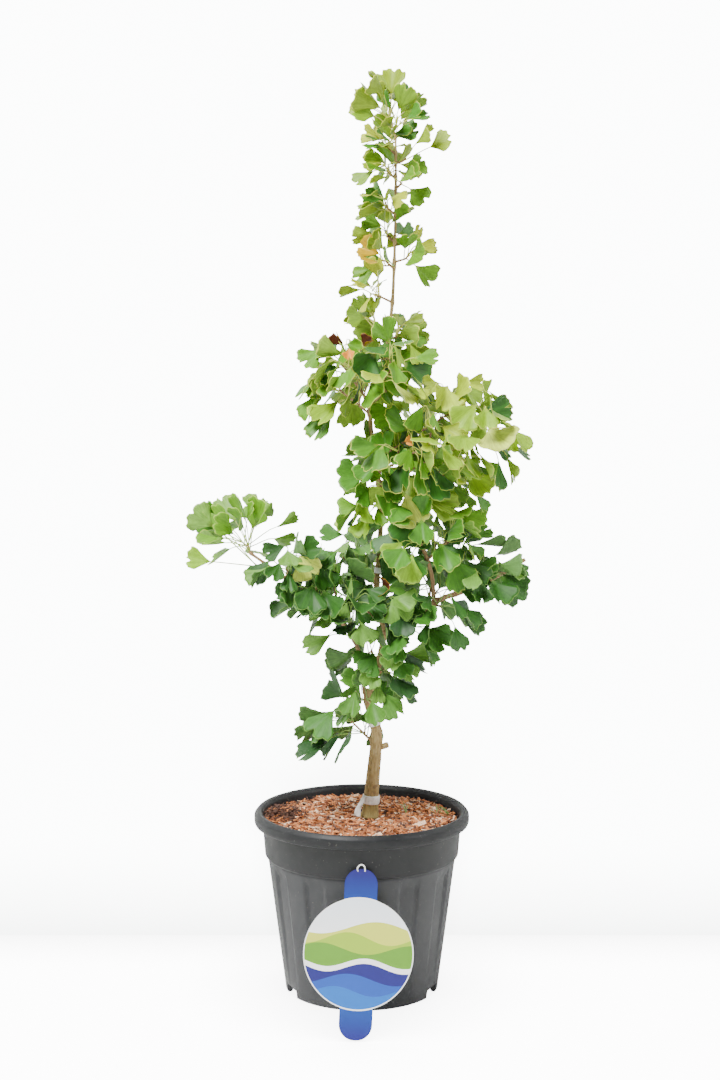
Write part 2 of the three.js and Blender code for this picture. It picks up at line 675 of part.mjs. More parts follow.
const solids = {
  trunk: [trunkSolid(), wood],
  left_bough: [limbSolid(limbs.left_bough), wood],
  right_bough: [limbSolid(limbs.right_bough), wood],
  right_fork: [limbSolid(limbs.right_fork), wood],
};
for (const [name, band] of Object.entries(tapes)) solids[name] = [tapeSolid(band), white];
Object.entries(masses).map(sprout).forEach((sprouted, index, sprouts) => {
  const others = Object.values(solids).map(([solid]) => solid);
  const bare = sprouts.slice(index + 1).map(({ solid }) => solid);
  const { color } = tiers[sprouted.mass.tier];
  solids[sprouted.name] = [grow(sprouted, [...others, ...bare]), { color, roughness: 0.6 }];
});
solids.pot = [potSolid(), plastic];
solids.soil = [soilSolid(), { color: "#8a5a3c", roughness: 0.95 }];
solids.plant_tag = [tagSolid(), { color: "#3f5fae", roughness: 0.35 }];

const tree = new THREE.Group();
for (const [name, [solid, look]] of Object.entries(solids)) tree.add(meshOf(name, solid, look));

export default tree;
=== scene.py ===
import math

import bmesh
import bpy
from mathutils import Matrix, Vector, noise
from mathutils.geometry import interpolate_bezier, intersect_ray_tri
from mathutils.kdtree import KDTree


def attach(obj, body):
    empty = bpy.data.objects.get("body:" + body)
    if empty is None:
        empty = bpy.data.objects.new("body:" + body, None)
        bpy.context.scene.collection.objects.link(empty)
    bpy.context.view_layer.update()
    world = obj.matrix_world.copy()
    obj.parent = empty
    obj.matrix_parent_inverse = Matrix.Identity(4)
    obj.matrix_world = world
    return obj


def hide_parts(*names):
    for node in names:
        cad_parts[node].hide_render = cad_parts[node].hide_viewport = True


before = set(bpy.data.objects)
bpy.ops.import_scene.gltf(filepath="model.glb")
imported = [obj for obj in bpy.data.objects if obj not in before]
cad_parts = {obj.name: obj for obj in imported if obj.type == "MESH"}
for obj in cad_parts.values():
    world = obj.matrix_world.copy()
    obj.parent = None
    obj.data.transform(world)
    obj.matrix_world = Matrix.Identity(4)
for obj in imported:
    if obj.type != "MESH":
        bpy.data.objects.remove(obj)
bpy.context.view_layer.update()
mm = 0.001
up = Vector((0, 0, 1))

# the camera stands in front of the plant, about a metre up, and looks a little down
cameraLook = {"place": (-0.0025, -2.683, 0.952), "tiltDown": 6.38, "lens": 63.33, "sensor": 36}
cameraData = bpy.data.cameras.new("camera")
cameraData.lens = cameraLook["lens"]
cameraData.sensor_width = cameraLook["sensor"]
camera = bpy.data.objects.new("camera", cameraData)
camera.location = cameraLook["place"]
camera.rotation_euler = (math.radians(90 - cameraLook["tiltDown"]), 0, 0)
bpy.context.collection.objects.link(camera)
bpy.context.scene.camera = camera
print("camera ready")


# helpers for materials
def linear(hexColour):
    channels = [int(hexColour[i : i + 2], 16) / 255 for i in (1, 3, 5)]
    return [c / 12.92 if c <= 0.04045 else ((c + 0.055) / 1.055) ** 2.4 for c in channels] + [1]


def setInputs(tree, node, inputs):
    for name, value in inputs.items():
        if isinstance(value, bpy.types.Node):  # a node stands for its first output
            value = value.outputs[0]
        if isinstance(value, bpy.types.NodeSocket):
            tree.links.new(value, node.inputs[name])
        else:
            node.inputs[name].default_value = value


# inputs go by name or number: a Map Range's 1 to 4 are the ends it maps from and to, and a Mix's 6 and 7
# are its two colours; a Mix's third output is its colour
def addNode(tree, kind, inputs=None, stops=None, **settings):
    node = tree.nodes.new("ShaderNode" + kind)
    for name, value in settings.items():
        setattr(node, name, value)
    setInputs(tree, node, inputs or {})
    if stops:  # of a colour ramp, as place and colour
        ramp = node.color_ramp.elements
        while len(ramp) < len(stops):
            ramp.new(1)
        for element, (place, colour) in zip(ramp, stops):
            element.position = place
            element.color = linear(colour)
    return node


def newMaterial(name, roughness, colour=None):
    material = bpy.data.materials.new(name)
    material.use_nodes = True
    tree = material.node_tree
    shader = tree.nodes["Principled BSDF"]
    setInputs(tree, shader, {"Roughness": roughness})
    if colour:
        setInputs(tree, shader, {"Base Color": linear(colour)})
    return material, tree, shader


# a finish whose colour wanders between stops; with a bump the skin is rough too
def mottled(name, roughness, scale, detail, stops, bump=0):
    material, tree, shader = newMaterial(name, roughness)
    place = addNode(tree, "TexCoord").outputs["Object"]
    tone = addNode(tree, "TexNoise", {"Vector": place, "Scale": scale, "Detail": detail})
    setInputs(tree, shader, {"Base Color": addNode(tree, "ValToRGB", {0: tone}, stops)})
    if bump:
        skin = addNode(tree, "Bump", {"Height": tone, "Strength": bump, "Distance": 1 * mm})
        setInputs(tree, shader, {"Normal": skin})
    return material


# helpers for pieces
def finishPiece(name, bm, materials, nodes=(), smooth=True):
    mesh = bpy.data.meshes.new(name)
    bm.to_mesh(mesh)
    bm.free()
    placePiece(name, mesh, materials, nodes, smooth)


def placePiece(name, mesh, materials, nodes=(), smooth=True):
    for material in materials:
        mesh.materials.append(material)
    mesh.polygons.foreach_set("use_smooth", [smooth] * len(mesh.polygons))
    piece = bpy.data.objects.new(name, mesh)
    bpy.context.collection.objects.link(piece)
    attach(piece, "root")
    if nodes:
        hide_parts(*nodes)


def profileOf(points):  # as radius and height in millimetres
    bm = bmesh.new()
    verts = [bm.verts.new((r * mm, 0, z * mm)) for r, z in points]
    for pair in zip(verts, verts[1:]):
        bm.edges.new(pair)
    return bm


def spinRound(bm, steps):
    bmesh.ops.spin(
        bm, geom=bm.verts[:] + bm.edges[:], cent=(0, 0, 0), axis=(0, 0, 1), angle=2 * math.pi,
        steps=steps, use_merge=True, use_duplicate=False,
    )
    bmesh.ops.remove_doubles(bm, verts=bm.verts[:], dist=1e-6)


def clamp(share):
    return min(max(share, 0), 1)


def smoothStep(share):
    share = clamp(share)
    return share * share * (3 - 2 * share)


# chance: a seeded stream, in 32-bit steps
def dice(seed):
    full = 0xFFFFFFFF
    state = seed & full

    def roll(low, high):
        nonlocal state
        state = (state + 0x6D2B79F5) & full
        mixed = ((state ^ (state >> 15)) * (1 | state)) & full
        mixed = ((mixed + (((mixed ^ (mixed >> 7)) * (61 | mixed)) & full)) & full) ^ mixed
        return low + (high - low) * (mixed ^ (mixed >> 14)) / (full + 1)

    return roll


# directions
def heading(turned, rise):
    flat = math.cos(math.radians(rise))
    turned = math.radians(turned)
    return Vector((math.cos(turned) * flat, math.sin(turned) * flat, math.sin(math.radians(rise))))


def square(way, hint):
    return (hint - way * hint.dot(way)).normalized()


def turnedAbout(vector, axis, degrees):
    return Matrix.Rotation(math.radians(degrees), 3, axis) @ vector


def smoothLine(points, rings):
    ends = [points[0] * 2 - points[1], *points, points[-1] * 2 - points[-2]]
    line = [points[0]]
    for before, start, end, after in zip(ends, ends[1:], ends[2:], ends[3:]):
        handles = start + (end - before) / 6, end - (after - start) / 6
        line += interpolate_bezier(start, *handles, end, rings + 1)[1:]
    return line


def along(line, share):
    spans = [(end - start).length for start, end in zip(line, line[1:])]
    left = share * sum(spans)
    i = 0
    while i < len(spans) - 1 and left > spans[i]:
        left -= spans[i]
        i += 1
    place = line[i].lerp(line[i + 1], min(left / spans[i], 1))
    return place, (line[i + 1] - line[i]).normalized()


def taper(girth):
    return lambda share: girth[0] + (girth[1] - girth[0]) * share


# the plant's limbs: points down the middle of each in millimetres, and its radius at the foot and the tip
gap = 0.3
limbs = {
    "trunk": {
        "points": [(12, 0, 250.3), (14, 0, 285), (21, 0, 365), (17, 0, 392), (10, 0, 420), (11, 0, 437)],
        "girth": (11.5, 6.3),
    },
    "leader": {
        "points": [
            (12, 0, 426), (31, -3, 514), (21, 1, 572), (27, 3, 700), (12, -2, 832),
            (31, 2, 903), (43, 0, 990), (47, 0, 1120), (47, 0, 1215),
        ],
        "girth": (4.6, 1.4),
    },
    "left_bough": {
        "foot": {"on": ("trunk", 0.96), "heading": 215, "rise": 10},
        "points": [(-7, -9, 501), (-45, -14, 553), (-94, -16, 589), (-158, -12, 635)],
        "girth": (3.2, 1.9),
    },
    "right_bough": {
        "foot": {"on": ("leader", 0.12), "heading": -30, "rise": 10},
        "points": [(78, -12, 537), (108, -14, 567), (168, -12, 589), (232, -6, 625)],
        "girth": (4.4, 2.8),
    },
    "right_fork": {
        "foot": {"on": ("right_bough", 0.38), "heading": 200, "rise": 60},
        "points": [(97, -22, 612), (76, -20, 668), (61, -14, 694)],
        "girth": (3.1, 2.3),
    },
}
limbSpan = {"seats": 2, "skin": 14}  # rings from point to point: as the solids have, and as the bark needs


# where a piece sits: the place in the middle of its limb, and the place just clear of the bark
def seat(piece):
    name, share = piece["on"]
    place, way = along(limbs[name]["line"], share)
    if share >= 1:
        return place, place + way * gap
    out = square(way, heading(piece["heading"], piece["rise"]))
    return place, place + out * (taper(limbs[name]["girth"])(share) + gap)


for limb in limbs.values():
    points = [Vector(p) for p in limb["points"]]
    if "foot" in limb:
        limb["middle"], start = seat(limb["foot"])
        points.insert(0, start)
    limb["line"] = smoothLine(points, limbSpan["seats"])
    limb["skin"] = smoothLine(points, limbSpan["skin"])

# what each mass of leaves is: its seat on a limb, its shoot's heading, rise and reach, its clusters of
# leaves and the leaves in each; and what a mass has from its tier unless it says otherwise
tiers = {
    "low": {"stalk": 34, "blade": 54, "droop": (0.4, 1.9)},
    "middle": {"stalk": 36, "blade": 55, "droop": (0.4, 1.9)},
    "high": {"stalk": 36, "blade": 57, "droop": (0.4, 1.9)},
    "top": {"stalk": 20, "blade": 52, "open": (35, 88), "droop": (0.2, 0.9)},
}
usual = {"lift": 0, "first": 0.3, "open": (45, 80), "behind": 12}


def massOf(limb, share, turned, rise, reach, clusters, leaves, tier, **own):
    place = {"on": (limb, share), "heading": turned, "rise": rise, "reach": reach}
    return {**usual, **tiers[tier], **place, "clusters": clusters, "leaves": leaves, "tier": tier, **own}


single = {"open": (0, 10), "droop": (0, 0.15)}  # a lone leaf that goes on from its shoot
rosette = {"stalk": 42, "blade": 56, "open": (10, 115), "droop": (0, 0.45), "room": 104}
masses = {
    "low_left": massOf("trunk", 0.595, 172, 44, 38, 2, 5, "low", stalk=40, blade=62, room=100),
    "low_scion": massOf("trunk", 0.9, -100, 25, 20, 1, 6, "low"),
    "low_right": massOf("leader", 0.045, -40, 35, 30, 2, 3, "low"),
    "low_back": massOf("leader", 0.057, 100, 20, 46, 2, 3, "low"),
    "left_near": massOf("left_bough", 0.3, -130, 60, 26, 2, 4, "low"),
    "left_under": massOf("left_bough", 0.55, -125, 50, 26, 2, 4, "low"),
    "left_over": massOf("left_bough", 0.44, 120, 75, 62, 3, 3, "low"),
    "left_back": massOf("left_bough", 0.46, 88, 24, 60, 3, 3, "low"),
    "left_outer": massOf("left_bough", 0.78, -70, 35, 18, 2, 5, "low", room=84),
    "left_far": massOf(
        "left_bough", 0.9, 183, -6, 10, 1, 1, "middle", **single, stalk=88, blade=56, room=136
    ),
    "left_tip": massOf("left_bough", 1, 125, 60, 12, 1, 16, "middle", **rosette),
    "mid_left": massOf("leader", 0.145, 205, 36, 50, 3, 4, "low"),
    "mid_front": massOf("leader", 0.157, -95, 20, 34, 3, 4, "low"),
    "mid_back": massOf("leader", 0.197, 95, 22, 60, 3, 3, "low"),
    "mid_high": massOf("leader", 0.212, 178, 38, 50, 3, 3, "low"),
    "right_near": massOf("right_bough", 0.14, -80, 0, 28, 2, 3, "low"),
    "right_under": massOf("right_bough", 0.37, -75, 0, 28, 2, 4, "low", bare=True),
    "right_over": massOf("right_bough", 0.52, 80, 72, 50, 3, 3, "low"),
    "right_back": massOf("right_bough", 0.32, 84, 28, 74, 3, 3, "low"),
    "right_outer": massOf(
        "right_bough", 0.68, -85, 45, 18, 2, 5, "low", stalk=32, blade=50, room=84, bare=True
    ),
    "right_upper": massOf("right_bough", 0.72, 80, 42, 18, 1, 5, "low"),
    "fork_right": massOf("right_fork", 0.45, 0, 45, 44, 3, 3, "middle"),
    "fork_front": massOf("right_fork", 0.6, -100, 25, 28, 2, 4, "middle"),
    "fork_tip": massOf("right_fork", 1, 40, 65, 36, 2, 5, "middle"),
    "column_left": massOf("leader", 0.348, -160, 20, 14, 2, 3, "middle", stalk=26, blade=48, room=66),
    "column_front": massOf("leader", 0.376, -60, 28, 38, 3, 3, "middle"),
    "column_back": massOf("leader", 0.386, 85, 28, 56, 3, 3, "middle"),
    "column_right": massOf("leader", 0.336, 0, 42, 72, 3, 3, "middle"),
    "column_outer": massOf("leader", 0.365, -16, 20, 96, 3, 3, "middle", first=0.55),
    "upper_right": massOf("leader", 0.391, -10, 21, 168, 6, 3, "high", lift=12, first=0.42),
    "upper_right_high": massOf("leader", 0.434, 5, 30, 140, 4, 4, "high", lift=4, first=0.4),
    "upper_right_front": massOf("leader", 0.409, -38, 26, 100, 3, 3, "high", first=0.4),
    "upper_right_back": massOf("leader", 0.424, 42, 24, 110, 3, 4, "high", first=0.4),
    "upper_left": massOf("leader", 0.515, 172, 38, 52, 3, 3, "high"),
    "upper_left_front": massOf("leader", 0.522, -150, 64, 64, 3, 4, "high"),
    "upper_left_back": massOf("leader", 0.531, 150, 50, 68, 3, 4, "high"),
    "upper_mid": massOf("leader", 0.556, -46, 45, 48, 3, 3, "high"),
    "upper_mid_back": massOf("leader", 0.58, 62, 45, 50, 3, 4, "high"),
    "top_first": massOf("leader", 0.665, 178, 15, 16, 1, 4, "top", stalk=26),
    "top_behind": massOf("leader", 0.65, 40, 10, 14, 1, 3, "top", stalk=26),
    "top_second": massOf("leader", 0.715, -170, 25, 20, 1, 5, "top", stalk=30),
    "top_right": massOf("leader", 0.785, -15, 15, 16, 1, 4, "top"),
    "top_third": massOf("leader", 0.775, -160, 40, 14, 2, 3, "top"),
    "top_fourth": massOf("leader", 0.82, 140, 40, 14, 2, 3, "top"),
    "top_fifth": massOf("leader", 0.868, -172, 42, 14, 2, 4, "top"),
    "top_sixth": massOf("leader", 0.93, 165, 42, 14, 2, 4, "top"),
    "top_front": massOf("leader", 0.912, -55, 25, 14, 1, 5, "top"),
    "top_seventh": massOf("leader", 0.972, -165, 40, 14, 2, 5, "top"),
    "top_far": massOf("leader", 0.955, -12, 15, 8, 1, 1, "top", **single, stalk=44, blade=52, room=110),
    "top_tuft": massOf(
        "leader", 1, 175, 72, 26, 2, 7, "top", stalk=34, open=(25, 80), droop=(0, 0.4), room=100
    ),
}

# how one leaf sits
leafRule = {
    "golden": 137.508,  # degrees from one leaf to the next, and the chance turn added to it
    "spin": 25,
    "length": 0.78,  # of a blade, in widths
    "corner": (0.5, 0.62),  # in widths across and lengths up, as the lobe is
    "lobe": (0.27, 0.98),
    "cupping": 0.35,
    "lobeCup": 0.4,  # how much of the cupping is left at a lobe
    "apart": 2.6,  # from leaf to leaf along a cluster
    "clear": 2,  # from the bark
    "lowest": 275,  # no leaf reaches below this
    "tries": 10,
    "ends": (0.05, 0.98),  # the first and last place for a leaf along its shoot
    "retry": 0.6,  # of a golden turn, from one try at a leaf to the next
    "stalks": (0.72, 1.15),  # shares of the mass's stalk and blade that a leaf can have
    "blades": (0.82, 1.12),
    "lastOpen": 0.75,  # shares of the lean and the blade in a mass's last cluster
    "lastBlade": 0.86,
    "lift": 0.15,  # how far a stalk bends up, and its blade bends out level
    "spread": 0.15,
    "facing": 65,  # chance turn of the face from straight outward
    "skyward": 0.5,  # how far the face turns up
    "twist": 25,  # chance turn of the blade about its middle
    "notch": (0.7, 0.9),  # the notch's foot, in lengths
    "cup": (-0.25, 0.35),  # shares of the cupping
    "ball": 0.35,  # what the blade adds to the ball round a leaf, past which nothing crosses it
    "stalkProbes": (0.35, 0.6, 0.85),
}
shootRule = {"girth": (2.2, 1.3), "steps": 3}
roomRule = {"reach": 0.5, "stalk": 0.8, "blade": 0.62}  # how much of each a mass's leaves may fill
finer = {  # the finer twigs, one to a cluster, which only the scene has
    "leaves": 3, "share": 0.3, "length": (9, 30), "open": (35, 70), "girth": (1.4, 1.1),
    "stalk": 0.85, "blade": 0.92, "rise": 0.1, "ends": (0.9, 0.95),
}


def shootLine(mass):
    line = [mass["start"]]
    steps = shootRule["steps"]
    for k in range(steps):
        way = heading(mass["heading"], mass["rise"] + mass["lift"] * (k + 0.5) / steps)
        line.append(line[k] + way * (mass["reach"] / steps))
    return line


def outline(plan):
    side = plan["way"].cross(plan["face"])
    blade = plan["blade"]

    def at(across, far, curl):
        place = plan["neck"] + plan["way"] * far * blade * leafRule["length"]
        return place + side * across * blade + plan["face"] * curl * blade

    curl = plan["cup"] * leafRule["cupping"]
    cornerX, cornerY = leafRule["corner"]
    lobeX, lobeY = leafRule["lobe"]
    return [
        at(0, 0, 0),
        at(cornerX, cornerY, curl),
        at(lobeX, lobeY, curl * leafRule["lobeCup"]),
        at(0, plan["notchAt"], 0),
        at(-lobeX, lobeY, curl * leafRule["lobeCup"]),
        at(-cornerX, cornerY, curl),
    ]


def clusterShare(mass, cluster, alone):
    first, steps = mass["first"], mass["clusters"] - 1
    return first + (1 - first) * cluster / steps if steps else alone


def sideways(axis, turned):
    hint = up if abs(axis.z) < 0.9 else Vector((0, -1, 0))
    return turnedAbout(square(axis, hint), axis, turned)


def leafPlan(mass, line, cluster, number, attempt):
    rule, leaves = leafRule, mass["leaves"]
    roll = dice(mass["seed"] * 7919 + cluster * 131 + number * 17 + attempt * 101)
    for _ in range(3):
        roll(0, 1)
    share = clusterShare(mass, cluster, 1)
    atTip = cluster == mass["clusters"] - 1
    aside = (number - (leaves - 1) / 2) * rule["apart"] / mass["reach"]
    first, last = rule["ends"]
    root, axis = along(line, min(max(share + aside, first), last))
    spin = roll(-rule["spin"], rule["spin"])
    turned = rule["golden"] * (cluster * leaves + number + attempt * rule["retry"]) + spin
    lean = math.radians(roll(*mass["open"]) * (rule["lastOpen"] if atTip else 1))
    out = (axis * math.cos(lean) + sideways(axis, turned) * math.sin(lean)).normalized()
    stalkWay = (out + up * rule["lift"]).normalized()
    stalk = mass["stalk"] * roll(*rule["stalks"])
    blade = mass["blade"] * roll(*rule["blades"]) * (rule["lastBlade"] if atTip else 1)
    neck = root + stalkWay * stalk
    level = Vector((stalkWay.x, stalkWay.y, 0.0001)).normalized()
    way = (stalkWay - up * roll(*mass["droop"]) + level * rule["spread"]).normalized()
    middle = mass["middle"]
    away = Vector((neck.x - middle.x, neck.y - middle.y - mass["behind"], 0.001)).normalized()
    light = turnedAbout(away, up, roll(-rule["facing"], rule["facing"])) + up * rule["skyward"]
    face = turnedAbout(square(way, light.normalized()), way, roll(-rule["twist"], rule["twist"]))
    plan = {"root": root, "neck": neck, "way": way, "face": face, "blade": blade, "stalkWay": stalkWay}
    plan["notchAt"] = roll(*rule["notch"])
    plan["cup"] = roll(*rule["cup"])
    plan["edge"] = outline(plan)
    plan["centre"] = root.lerp(plan["edge"][3], 0.5)
    plan["size"] = (root - plan["edge"][3]).length / 2 + blade * rule["ball"]
    plan["roll"] = roll
    return plan


grainCount = 60
grains = KDTree(len(limbs) * (grainCount + 1))
grainGirths = []
for limb in limbs.values():
    for k in range(grainCount + 1):
        grains.insert(along(limb["line"], k / grainCount)[0], len(grainGirths))
        grainGirths.append(taper(limb["girth"])(k / grainCount))
grains.balance()
widest = max(grainGirths) + leafRule["clear"]


def nearWood(plan):
    root, neck, edge = plan["root"], plan["neck"], plan["edge"]
    probes = [root.lerp(neck, share) for share in leafRule["stalkProbes"]]
    for i, p in enumerate(edge):
        probes += [p, p.lerp(edge[(i + 1) % len(edge)], 0.5)]
    probes += [edge[0].lerp(edge[k], 0.5) for k in (2, 3, 4)]
    return any(
        distance < grainGirths[index] + leafRule["clear"]
        for p in probes
        for _, index, distance in grains.find_range(p, widest)
    )


def pierces(one, other):
    edge, blade = one["edge"], other["edge"]
    rods = [(p, edge[(i + 1) % len(edge)]) for i, p in enumerate(edge)]
    rods.append((one["root"].lerp(one["neck"], 0.25), one["neck"]))
    for start, end in rods:
        ray = end - start
        for k in range(1, 5):
            hit = intersect_ray_tri(blade[0], blade[k], blade[k + 1], ray, start, True)
            if hit and (hit - start).dot(ray) >= 0 and (hit - start).length <= ray.length:
                return True
    return False


def crosses(one, other):
    if (one["centre"] - other["centre"]).length > one["size"] + other["size"]:
        return False
    return pierces(one, other) or pierces(other, one)


def hasRoom(mass, plan):
    return all(
        p.z > leafRule["lowest"] and (p - mass["heart"]).length <= mass["room"] for p in plan["edge"]
    )


def growLeaves(mass, line, cluster, placed):
    for number in range(mass["leaves"]):
        for attempt in range(leafRule["tries"]):
            plan = leafPlan(mass, line, cluster, number, attempt)
            if not hasRoom(mass, plan) or nearWood(plan) or any(crosses(plan, other) for other in placed):
                continue
            plan["mass"] = mass
            plan["spray"] = mass["seed"] * 10 + cluster
            placed.append(plan)
            break


allLeaves = []
shoots = []  # lines with their radii, for the twigs
for index, mass in enumerate(masses.values()):
    mass["seed"] = index + 1
    mass["middle"], mass["start"] = seat(mass)
    mass.setdefault("room", sum(mass[part] * share for part, share in roomRule.items()))
    mass["line"] = shootLine(mass)
    mass["heart"] = mass["line"][0].lerp(mass["line"][-1], 0.5)
    shoots.append(([mass["middle"], *mass["line"]], shootRule["girth"]))
for mass in masses.values():
    for cluster in range(mass["clusters"]):
        growLeaves(mass, mass["line"], cluster, allLeaves)
coarseCount = len(allLeaves)
for mass in masses.values():  # the finer twigs come when every first leaf has its place
    if mass.get("bare"):  # a mass that leaves the wood behind it in view
        continue
    for cluster in range(mass["clusters"]):
        roll = dice(mass["seed"] * 4001 + cluster * 59)
        alone, last = finer["ends"]
        root, axis = along(mass["line"], min(clusterShare(mass, cluster, alone), last))
        lean = math.radians(roll(*finer["open"]))
        way = (axis * math.cos(lean) + sideways(axis, roll(0, 360)) * math.sin(lean)).normalized()
        shortest, longest = finer["length"]
        length = min(max(mass["reach"] * finer["share"], shortest), longest)
        line = [root, root + way * length * 0.5, root + (way + up * finer["rise"]).normalized() * length]
        twig = {**mass, "seed": mass["seed"] * 100 + cluster * 10, "reach": length, "clusters": 1}
        twig["leaves"] = finer["leaves"]
        twig["stalk"], twig["blade"] = mass["stalk"] * finer["stalk"], mass["blade"] * finer["blade"]
        shoots.append((line, finer["girth"]))
        growLeaves(twig, line, 0, allLeaves)
print(f"leaves: {coarseCount} on the shoots and {len(allLeaves) - coarseCount} on finer twigs")

# leaves that differ from their tier: turned yellow, pale, or withered and curled, at places in millimetres
oddLeaves = {
    "golden": {
        "front": "#b08e00", "back": "#a88c00", "rim": "#c0a414", "scale": 1,
        "at": [(10, 0, 1060), (15, -25, 1045)],
    },
    "pale": {
        "front": "#c0d050", "back": "#b2c870", "rim": "#e2e48a", "scale": 1,
        "at": [(50, -60, 865), (70, -40, 705), (-80, -35, 620), (185, -70, 800)],
    },
    "withered": {
        "front": "#4c2208", "back": "#a07a14", "rim": "#b08a14", "scale": 0.62, "cup": 0.9,
        "at": [(-35, 20, 940), (10, 5, 930), (35, -50, 590)],
    },
    "scorched": {
        "front": "#d98a2b", "back": "#c9782a", "rim": "#e8b04a", "scale": 0.45, "cup": 0.9,
        "at": [(-15, -55, 910), (60, -95, 795)],
    },
}


def bladeMiddle(leaf):
    return leaf["edge"][3].lerp(leaf["neck"], 0.5)


for name, kind in oddLeaves.items():
    for spot in kind["at"]:
        plan = min(allLeaves, key=lambda leaf: (bladeMiddle(leaf) - Vector(spot)).length)
        plan["odd"] = name
        plan["blade"] *= kind["scale"]
        plan["cup"] = kind.get("cup", plan["cup"])

# leaves: thin blades, front and underside, fanned out from the neck
leafForm = {
    "columns": 18,
    "rows": (0, 0.3, 0.55, 0.76, 0.9, 1),
    "thick": 0.45,
    "halfSpread": 37,  # degrees from the middle to a side edge
    "spread": (0.72, 1.34),  # shares of it that a leaf can have
    "neckSpread": 0.8,  # how much of it the blade has at the neck
    "tip": 0.88,  # how far the margin is from the neck, in widths
    "round": 0.1,  # how much less at the corners
    "corner": (0.8, 0.16),  # where the corners begin to round off, and how much they lose
    "crenate": (0.024, 17, 0.013, 43),  # height and pace of the margin's waves
    "notchSide": (-0.06, 0.06),
    "notchWide": (0.07, 0.2),
    "ripple": (0.01, 0.045),
    "ripplePace": (5, 9),
    "arch": (-0.08, 0.2),  # how far the blade bends back to its tip
    "fold": (-0.1, 0.95),  # how steeply the halves fold up from the middle
    "crease": 0.1,  # how round that fold is
    "cupping": 1.5,  # against the rule's
    "size": {"low": 1, "middle": 1, "high": 1, "top": 0.94},
    "uvHalf": 0.24,  # half a blade's width on its map, where front and underside lie side by side
    "uvEdge": 0.01,
}


def leafTemplate():
    bm = bmesh.new()
    uvs = bm.loops.layers.uv.new("OFBake")
    rows, edge = leafForm["rows"], leafForm["uvEdge"]

    def layOut(face, middle):
        for loop in face.loops:
            x, y, _ = loop.vert.co
            loop[uvs].uv = (x * leafForm["uvHalf"] + middle, y * (1 - 2 * edge) + edge)

    bmesh.ops.create_grid(bm, x_segments=leafForm["columns"], y_segments=len(rows) - 1, size=0.5)
    for v in bm.verts:
        row = round((v.co.y + 0.5) * (len(rows) - 1))
        v.co = Vector((v.co.x * 2, rows[row], 0))
    for face in bm.faces:
        layOut(face, 0.25)
    bmesh.ops.solidify(bm, geom=bm.faces[:], thickness=1 * mm)
    bm.normal_update()
    for v in bm.verts:  # the blade's two layers are at 0 and -1
        v.co.z = 0 if abs(v.co.z) < 0.5 * mm else -1
    for face in bm.faces:
        if min(v.co.z for v in face.verts) < -0.5:
            face.material_index = 1
            layOut(face, 0.75)
    return bm


template = leafTemplate()
print(f"leaf template: {len(template.faces)} faces")


def leafRadius(share, plan):
    form = leafForm
    far = form["tip"] - form["round"] * share * share
    high, pace, low, quick = form["crenate"]
    far += high * math.sin(share * pace + plan["phase"]) + low * math.sin(share * quick + plan["phase"] * 2)
    notch = form["tip"] - plan["notchAt"] * leafRule["length"]
    far -= notch * max(0, 1 - abs(share - plan["notchSide"]) / plan["notchWide"]) ** 1.5
    start, lost = form["corner"]
    corner = max(0, (abs(share) - start) / (1 - start))
    return far * (1 - lost * corner * corner)


def bendLeaf(bm, plan):
    form, roll = leafForm, plan["roll"]
    blade = plan["blade"] * form["size"][plan["mass"]["tier"]]
    plan["phase"] = roll(0, 6.28)
    plan["notchSide"] = roll(*form["notchSide"])
    plan["notchWide"] = roll(*form["notchWide"])
    ripple, ripplePace, ripplePhase = roll(*form["ripple"]), roll(*form["ripplePace"]), roll(0, 6.28)
    arch, fold = roll(*form["arch"]), roll(*form["fold"])
    spread = math.radians(form["halfSpread"]) * roll(*form["spread"])
    cup = plan["cup"] * leafRule["cupping"] * form["cupping"]
    side = plan["way"].cross(plan["face"])
    neckSpread, crease = form["neckSpread"], form["crease"]
    reach = {}
    for v in bm.verts:
        share, far, layer = v.co
        key = round(share, 4)
        if key not in reach:
            reach[key] = leafRadius(share, plan)
        r = reach[key] * far
        angle = share * spread * (neckSpread + (1 - neckSpread) * far)
        x, y = r * math.sin(angle), r * math.cos(angle)
        lift = cup * (x * 2) ** 2 + fold * (math.hypot(x, crease) - crease)
        lift += ripple * far * far * math.sin(share * ripplePace + ripplePhase) - arch * y * y
        co = plan["neck"] + side * (x * blade) + plan["way"] * (y * blade) + plan["face"] * (lift * blade)
        v.co = (co + plan["face"] * layer * form["thick"]) * mm


# the tints, dealt out by spray: each tier's sprays share its list
leafTints = {
    "low": ["#2c5a18", "#3c7220", "#22491a", "#4f802a", "#659434"],
    "middle": ["#47801a", "#669a1a", "#84b022", "#2d6018", "#9cc03c"],
    "high": ["#5a8e12", "#86ac14", "#2f6018", "#a9c022", "#4c801c"],
    "top": ["#5f8e12", "#819a0c", "#437a18", "#9fac12", "#6e9214"],
}
undersides = {"low": "#557f3c", "middle": "#74a03c", "high": "#8aac38", "top": "#829c22"}
margins = {"low": "#7aa648", "middle": "#b4cc54", "high": "#e0e662", "top": "#cfd04a"}


